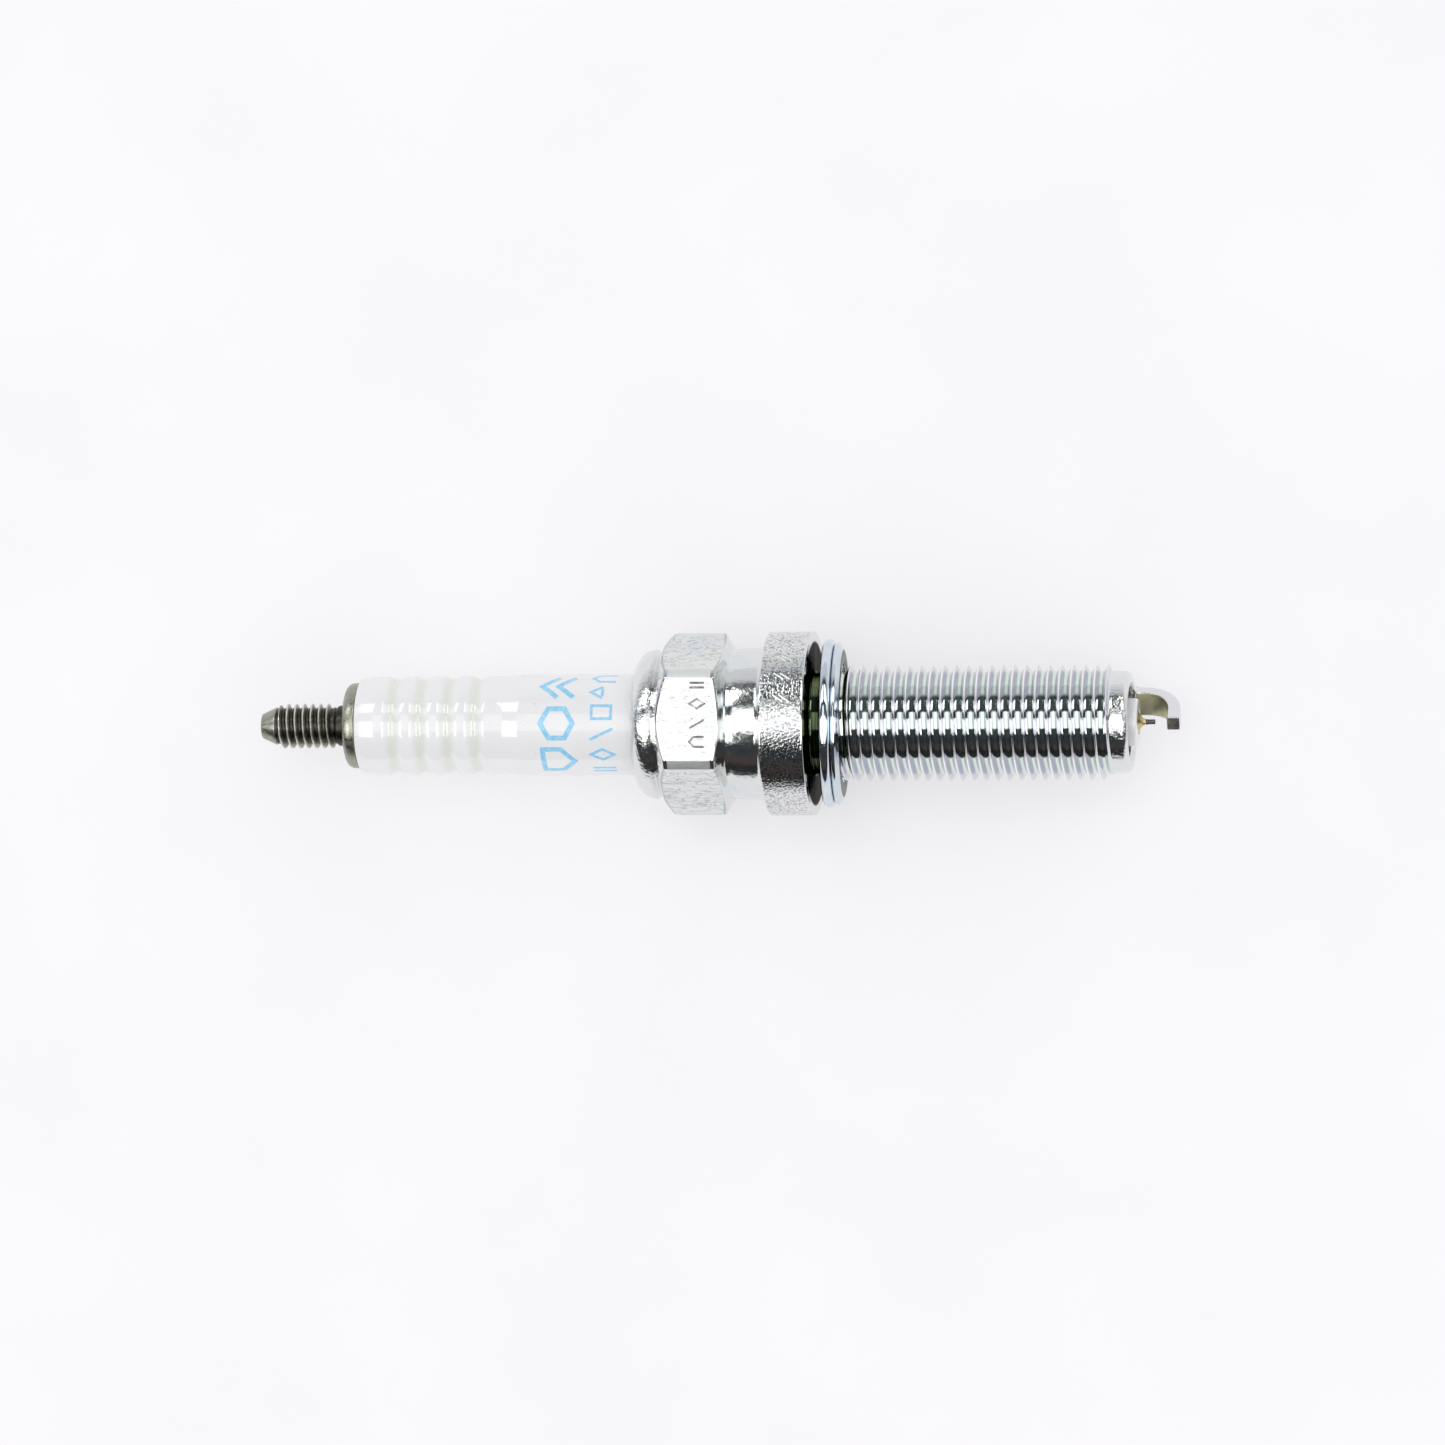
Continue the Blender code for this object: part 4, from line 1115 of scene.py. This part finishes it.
def dark_steel_finish():
    """Bare turned steel with a grey-brown skin. It has painted shade, near black, in the thread's
    roots and on the neck, and a painted highlight along the thread's crests."""
    steel = Finish("terminal_steel", Metallic=1.0)
    height = steel.mark()
    browns = ((0.3, (0.15, 0.145, 0.12)), (0.7, (0.30, 0.29, 0.25)))
    colour = steel.ramp(steel.noise(0.5 * MM, 4.0), *browns)
    # Lighter on collar, ends and flanks; painted shade in roots and on neck; painted highlight on
    # crests
    colour = steel.mix(steel.between(height, 0.4, 0.7, 0.0, 0.6), colour, (0.44, 0.45, 0.37))
    colour = steel.mix(steel.between(height, 0.0, 0.35, 0.85, 0.0), colour, (0.022, 0.02, 0.017))
    colour = steel.mix(steel.between(height, 0.78, 1.0), colour, (0.74, 0.72, 0.66))
    steel.set("Base Color", colour)
    lathe_lines = steel.noise(0.06 * MM, 2.0, stretch=(1, 8, 8))
    steel.set("Normal", steel.bump(lathe_lines, 0.003 * MM))
    steel.set("Roughness", steel.between(steel.noise(0.3 * MM, 3.0), 0.3, 0.7, 0.24, 0.42))
    return steel.material


def nickel_finish(name, outer_colour, inner_colour):
    """Nickel alloy with shear lines. Where the mark is 1 it carries a warm tarnish."""
    nickel = Finish(name, Metallic=1.0)
    patches = nickel.noise(0.4 * MM, 3.0)
    inner = nickel.between(nickel.mark(), 0.2, 0.8)
    tarnish = nickel.times(inner, nickel.between(patches, 0.25, 0.6, 0.75, 1.0))
    nickel.set("Base Color", nickel.mix(tarnish, outer_colour, inner_colour))
    shear = nickel.noise(0.05 * MM, 2.0, stretch=(1, 6, 6))
    nickel.set("Normal", nickel.bump(shear, 0.003 * MM))
    polish = nickel.between(patches, 0.3, 0.7, 0.2, 0.32)
    nickel.set("Roughness", nickel.plus(polish, nickel.times(inner, 0.14)))
    return nickel.material


def mottled_finish(name, dark, light, size, roughness, metallic=0.0, relief=0.004 * MM):
    """A material with two shades in soft patches and a matching fine relief."""
    finish = Finish(name, Metallic=metallic)
    patches = finish.noise(size, 4.0)
    finish.set("Base Color", finish.ramp(patches, (0.3, dark), (0.7, light)))
    finish.set("Roughness", finish.between(patches, 0.3, 0.7, roughness * 0.75, roughness * 1.25))
    finish.set("Normal", finish.bump(finish.noise(size / 4, 3.0), relief))
    return finish.material


# ---- build the plug

STRAP_COLOURS = ((0.76, 0.75, 0.79), (0.60, 0.58, 0.37))
WIRE_COLOURS = ((0.60, 0.50, 0.27), (0.55, 0.47, 0.28))
IRIDIUM = ((0.07, 0.065, 0.06), (0.16, 0.15, 0.13), 0.1 * MM, 0.3, 1.0, 0.001 * MM)

metal_shell(zinc_finish())
insulator(glaze_finish())
printed_marks(ink_finish())
terminal_stud(dark_steel_finish())
sealing_gasket(gasket_finish())
ground_electrode(nickel_finish("strap_nickel", *STRAP_COLOURS))
center_electrode(nickel_finish("electrode_nickel", *WIRE_COLOURS))
iridium_tip(mottled_finish("iridium_pin", *IRIDIUM))

# The CAD pieces inside the plug keep their meshes. Each finish has its name, two shades, size of
# patches, roughness and metallic value, and the nodes that it goes on.
SEAL_GLASS = ((0.16, 0.10, 0.06), (0.34, 0.24, 0.15), 0.3 * MM, 0.35, 0.4)
CARBON = ((0.03, 0.03, 0.035), (0.10, 0.10, 0.11), 0.15 * MM, 0.6)
COPPER = ((0.72, 0.34, 0.20), (0.88, 0.50, 0.34), 0.4 * MM, 0.25, 1.0)
TALC = ((0.68, 0.66, 0.60), (0.82, 0.81, 0.77), 0.2 * MM, 0.9)
PACKING_STEEL = ((0.34, 0.34, 0.35), (0.52, 0.52, 0.54), 0.3 * MM, 0.38, 1.0)
INNER_FINISHES = (
    ("seal_glass", SEAL_GLASS, ("upper_glass_seal",)),
    ("lower_seal_glass", SEAL_GLASS, ("lower_glass_seal",)),
    ("resistor_carbon", CARBON, ("resistor",)),
    ("core_copper", COPPER, ("copper_core",)),
    ("filler_talc", TALC, ("talc_filler",)),
    ("packing_steel", PACKING_STEEL, ("upper_packing_ring", "lower_packing_ring", "seat_packing")),
)
for name, look, nodes in INNER_FINISHES:
    finish = mottled_finish(name, *look)
    for node in nodes:
        for material_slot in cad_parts[node].material_slots:
            material_slot.material = finish


# ---- table, light and camera

TABLE_HALF = 2.5
PAPER_COLOURS = ((0.3, (0.425, 0.424, 0.43)), (0.7, (0.44, 0.438, 0.445)))
PAPER_GLOW = ((0.3, (0.955, 0.95, 0.965)), (0.7, (0.975, 0.97, 0.985)))
GLOW_STRENGTH = 0.52


def table_top():
    """A wide sheet of pale paper that the plug lies on, which glows a little."""
    solid = bmesh.new()
    corners = [(x * TABLE_HALF, y * TABLE_HALF, 0) for x, y in ((-1, -1), (1, -1), (1, 1), (-1, 1))]
    solid.faces.new([solid.verts.new(corner) for corner in corners])
    table = new_object("table_top", solid)
    paper = Finish("pale_paper", Roughness=1.0, Specular_IOR_Level=0.0)
    fibres = paper.noise(25 * MM, 3.0)
    paper.set("Base Color", paper.ramp(fibres, *PAPER_COLOURS))
    paper.set("Emission Color", paper.ramp(fibres, *PAPER_GLOW))
    paper.set("Emission Strength", GLOW_STRENGTH)
    table.data.materials.append(paper.material)


# Bright panels above the plug, at PANEL_HEIGHT in metres. Their ranges along x and y are tangents
# of the directions in which the plug sees their edges, and the last number is their radiance.
PANEL_HEIGHT = 1.2
OVERHEAD_PANEL = ((-0.36, 0.14), (-0.31, 0.39), 1.4)
WINDOW_COLUMNS = {
    "left": (("", (-0.75, -0.36), 4.5), ("far_", (-3.5, -0.75), 1.6)),
    "right": (("", (0.14, 0.45), 4.5), ("far_", (0.45, 4.5), 1.6)),
}
WINDOW_ROWS = {"window": (-0.61, 0.11), "small_window": (0.54, 1.21)}


def add_panel(name, across, along, radiance, in_diffuse):
    """A rectangular lamp facing down. The windows light only the glossy surfaces, and the soft
    daylight of the world lights the rest."""
    size_x = (across[1] - across[0]) * PANEL_HEIGHT
    size_y = (along[1] - along[0]) * PANEL_HEIGHT
    lamp = bpy.data.lights.new(name, "AREA")
    lamp.shape = "RECTANGLE"
    lamp.size = size_x
    lamp.size_y = size_y
    lamp.energy = radiance * pi * size_x * size_y
    obj = bpy.data.objects.new(name, lamp)
    x, y = ((low + high) / 2 * PANEL_HEIGHT for low, high in (across, along))
    obj.location = (x, y, PANEL_HEIGHT + AXIS_Z)
    obj.visible_camera = False
    obj.visible_diffuse = in_diffuse
    SCENE.collection.objects.link(obj)


# What mirrors see of the room beyond the panels, as (degrees from straight up towards +Y, colour)
MIRRORED_ROOM = (
    (-180.0, (0.80, 0.80, 0.82)),
    (-99.0, (0.80, 0.80, 0.82)),
    (-96.0, (0.04, 0.04, 0.04)),
    (-72.0, (0.02, 0.02, 0.022)),
    (-67.0, (0.07, 0.058, 0.055)),
    (-55.0, (0.06, 0.052, 0.05)),
    (-50.0, (0.035, 0.04, 0.045)),
    (58.0, (0.065, 0.073, 0.08)),
    (67.0, (0.72, 0.73, 0.76)),
    (180.0, (0.80, 0.80, 0.82)),
)
BACKGROUND_COLOUR = (0.885, 0.88, 0.915)
DAYLIGHT_COLOUR = (0.985, 0.98, 1.0)
DAYLIGHT_STRENGTH = 0.93


def room_light():
    """The room: pale to the eye, soft daylight to dull surfaces, and for mirrors a dark room with
    a pale backdrop low behind the plug."""
    world = bpy.data.worlds.new("studio")
    SCENE.world = world
    world.use_nodes = True
    world.cycles.sampling_method = "NONE"
    tree = world.node_tree
    tree.nodes.clear()

    def backdrop(colour, strength=1.0):
        inputs = {"Color": opaque(colour), "Strength": strength}
        return add_node(tree, "Background", inputs).outputs[0]

    def choice(when, otherwise, this):
        return add_node(tree, "MixShader", {0: when, 1: otherwise, 2: this}).outputs[0]

    direction = add_node(tree, "TexCoord").outputs["Generated"]
    axes = add_node(tree, "SeparateXYZ", {0: direction}).outputs
    angle = add_node(tree, "Math", {0: axes["Y"], 1: axes["Z"]}, operation="ARCTAN2").outputs[0]
    full_turn = {"Value": angle, "From Min": -pi, "From Max": pi}
    share = add_node(tree, "MapRange", full_turn).outputs["Result"]
    stops = [((degrees + 180) / 360, colour) for degrees, colour in MIRRORED_ROOM]
    mirrored = backdrop(add_ramp(tree, share, stops))
    daylight = backdrop(DAYLIGHT_COLOUR, DAYLIGHT_STRENGTH)
    ray = add_node(tree, "LightPath").outputs
    lit = choice(ray["Is Glossy Ray"], daylight, mirrored)
    seen = choice(ray["Is Camera Ray"], lit, backdrop(BACKGROUND_COLOUR))
    add_node(tree, "OutputWorld", {"Surface": seen})


# The camera's distance, its turn from straight above the plug, and what it aims at
CAMERA_DISTANCE = 0.685
TOWARDS_TIP = radians(9.0)
TOWARDS_VIEWER = radians(3.5)
ROLL = radians(0.28)
AIM_STATION = -8.30 * MM
AIM_OFF_AXIS = 0.12 * MM


def camera():
    """A long lens looking almost straight down, from slightly in front of the firing end."""
    upwards = cos(TOWARDS_TIP)
    y, z = -upwards * sin(TOWARDS_VIEWER), upwards * cos(TOWARDS_VIEWER)
    back = Vector((sin(TOWARDS_TIP), y, z))
    level = Vector((1, 0, 0)) - back * back.x
    level.normalize()
    upright = back.cross(level)
    right = level * cos(ROLL) - upright * sin(ROLL)
    up = level * sin(ROLL) + upright * cos(ROLL)
    aim = at(AIM_STATION, 0, 0) + up * AIM_OFF_AXIS
    data = bpy.data.cameras.new("camera")
    data.sensor_width = 36.0
    data.lens = 200.2
    data.clip_start = 0.01
    data.clip_end = 100.0
    obj = bpy.data.objects.new("camera", data)
    turn = Matrix((right, up, back)).transposed().to_4x4()
    obj.matrix_world = Matrix.Translation(aim + back * CAMERA_DISTANCE) @ turn
    SCENE.collection.objects.link(obj)
    SCENE.camera = obj


table_top()
add_panel("overhead_panel", *OVERHEAD_PANEL, in_diffuse=True)
for side, columns in WINDOW_COLUMNS.items():
    for kind, along in WINDOW_ROWS.items():
        for prefix, across, radiance in columns:
            add_panel(f"{prefix}{side}_{kind}", across, along, radiance, in_diffuse=False)
room_light()
camera()
SCENE.view_settings.view_transform = "Standard"
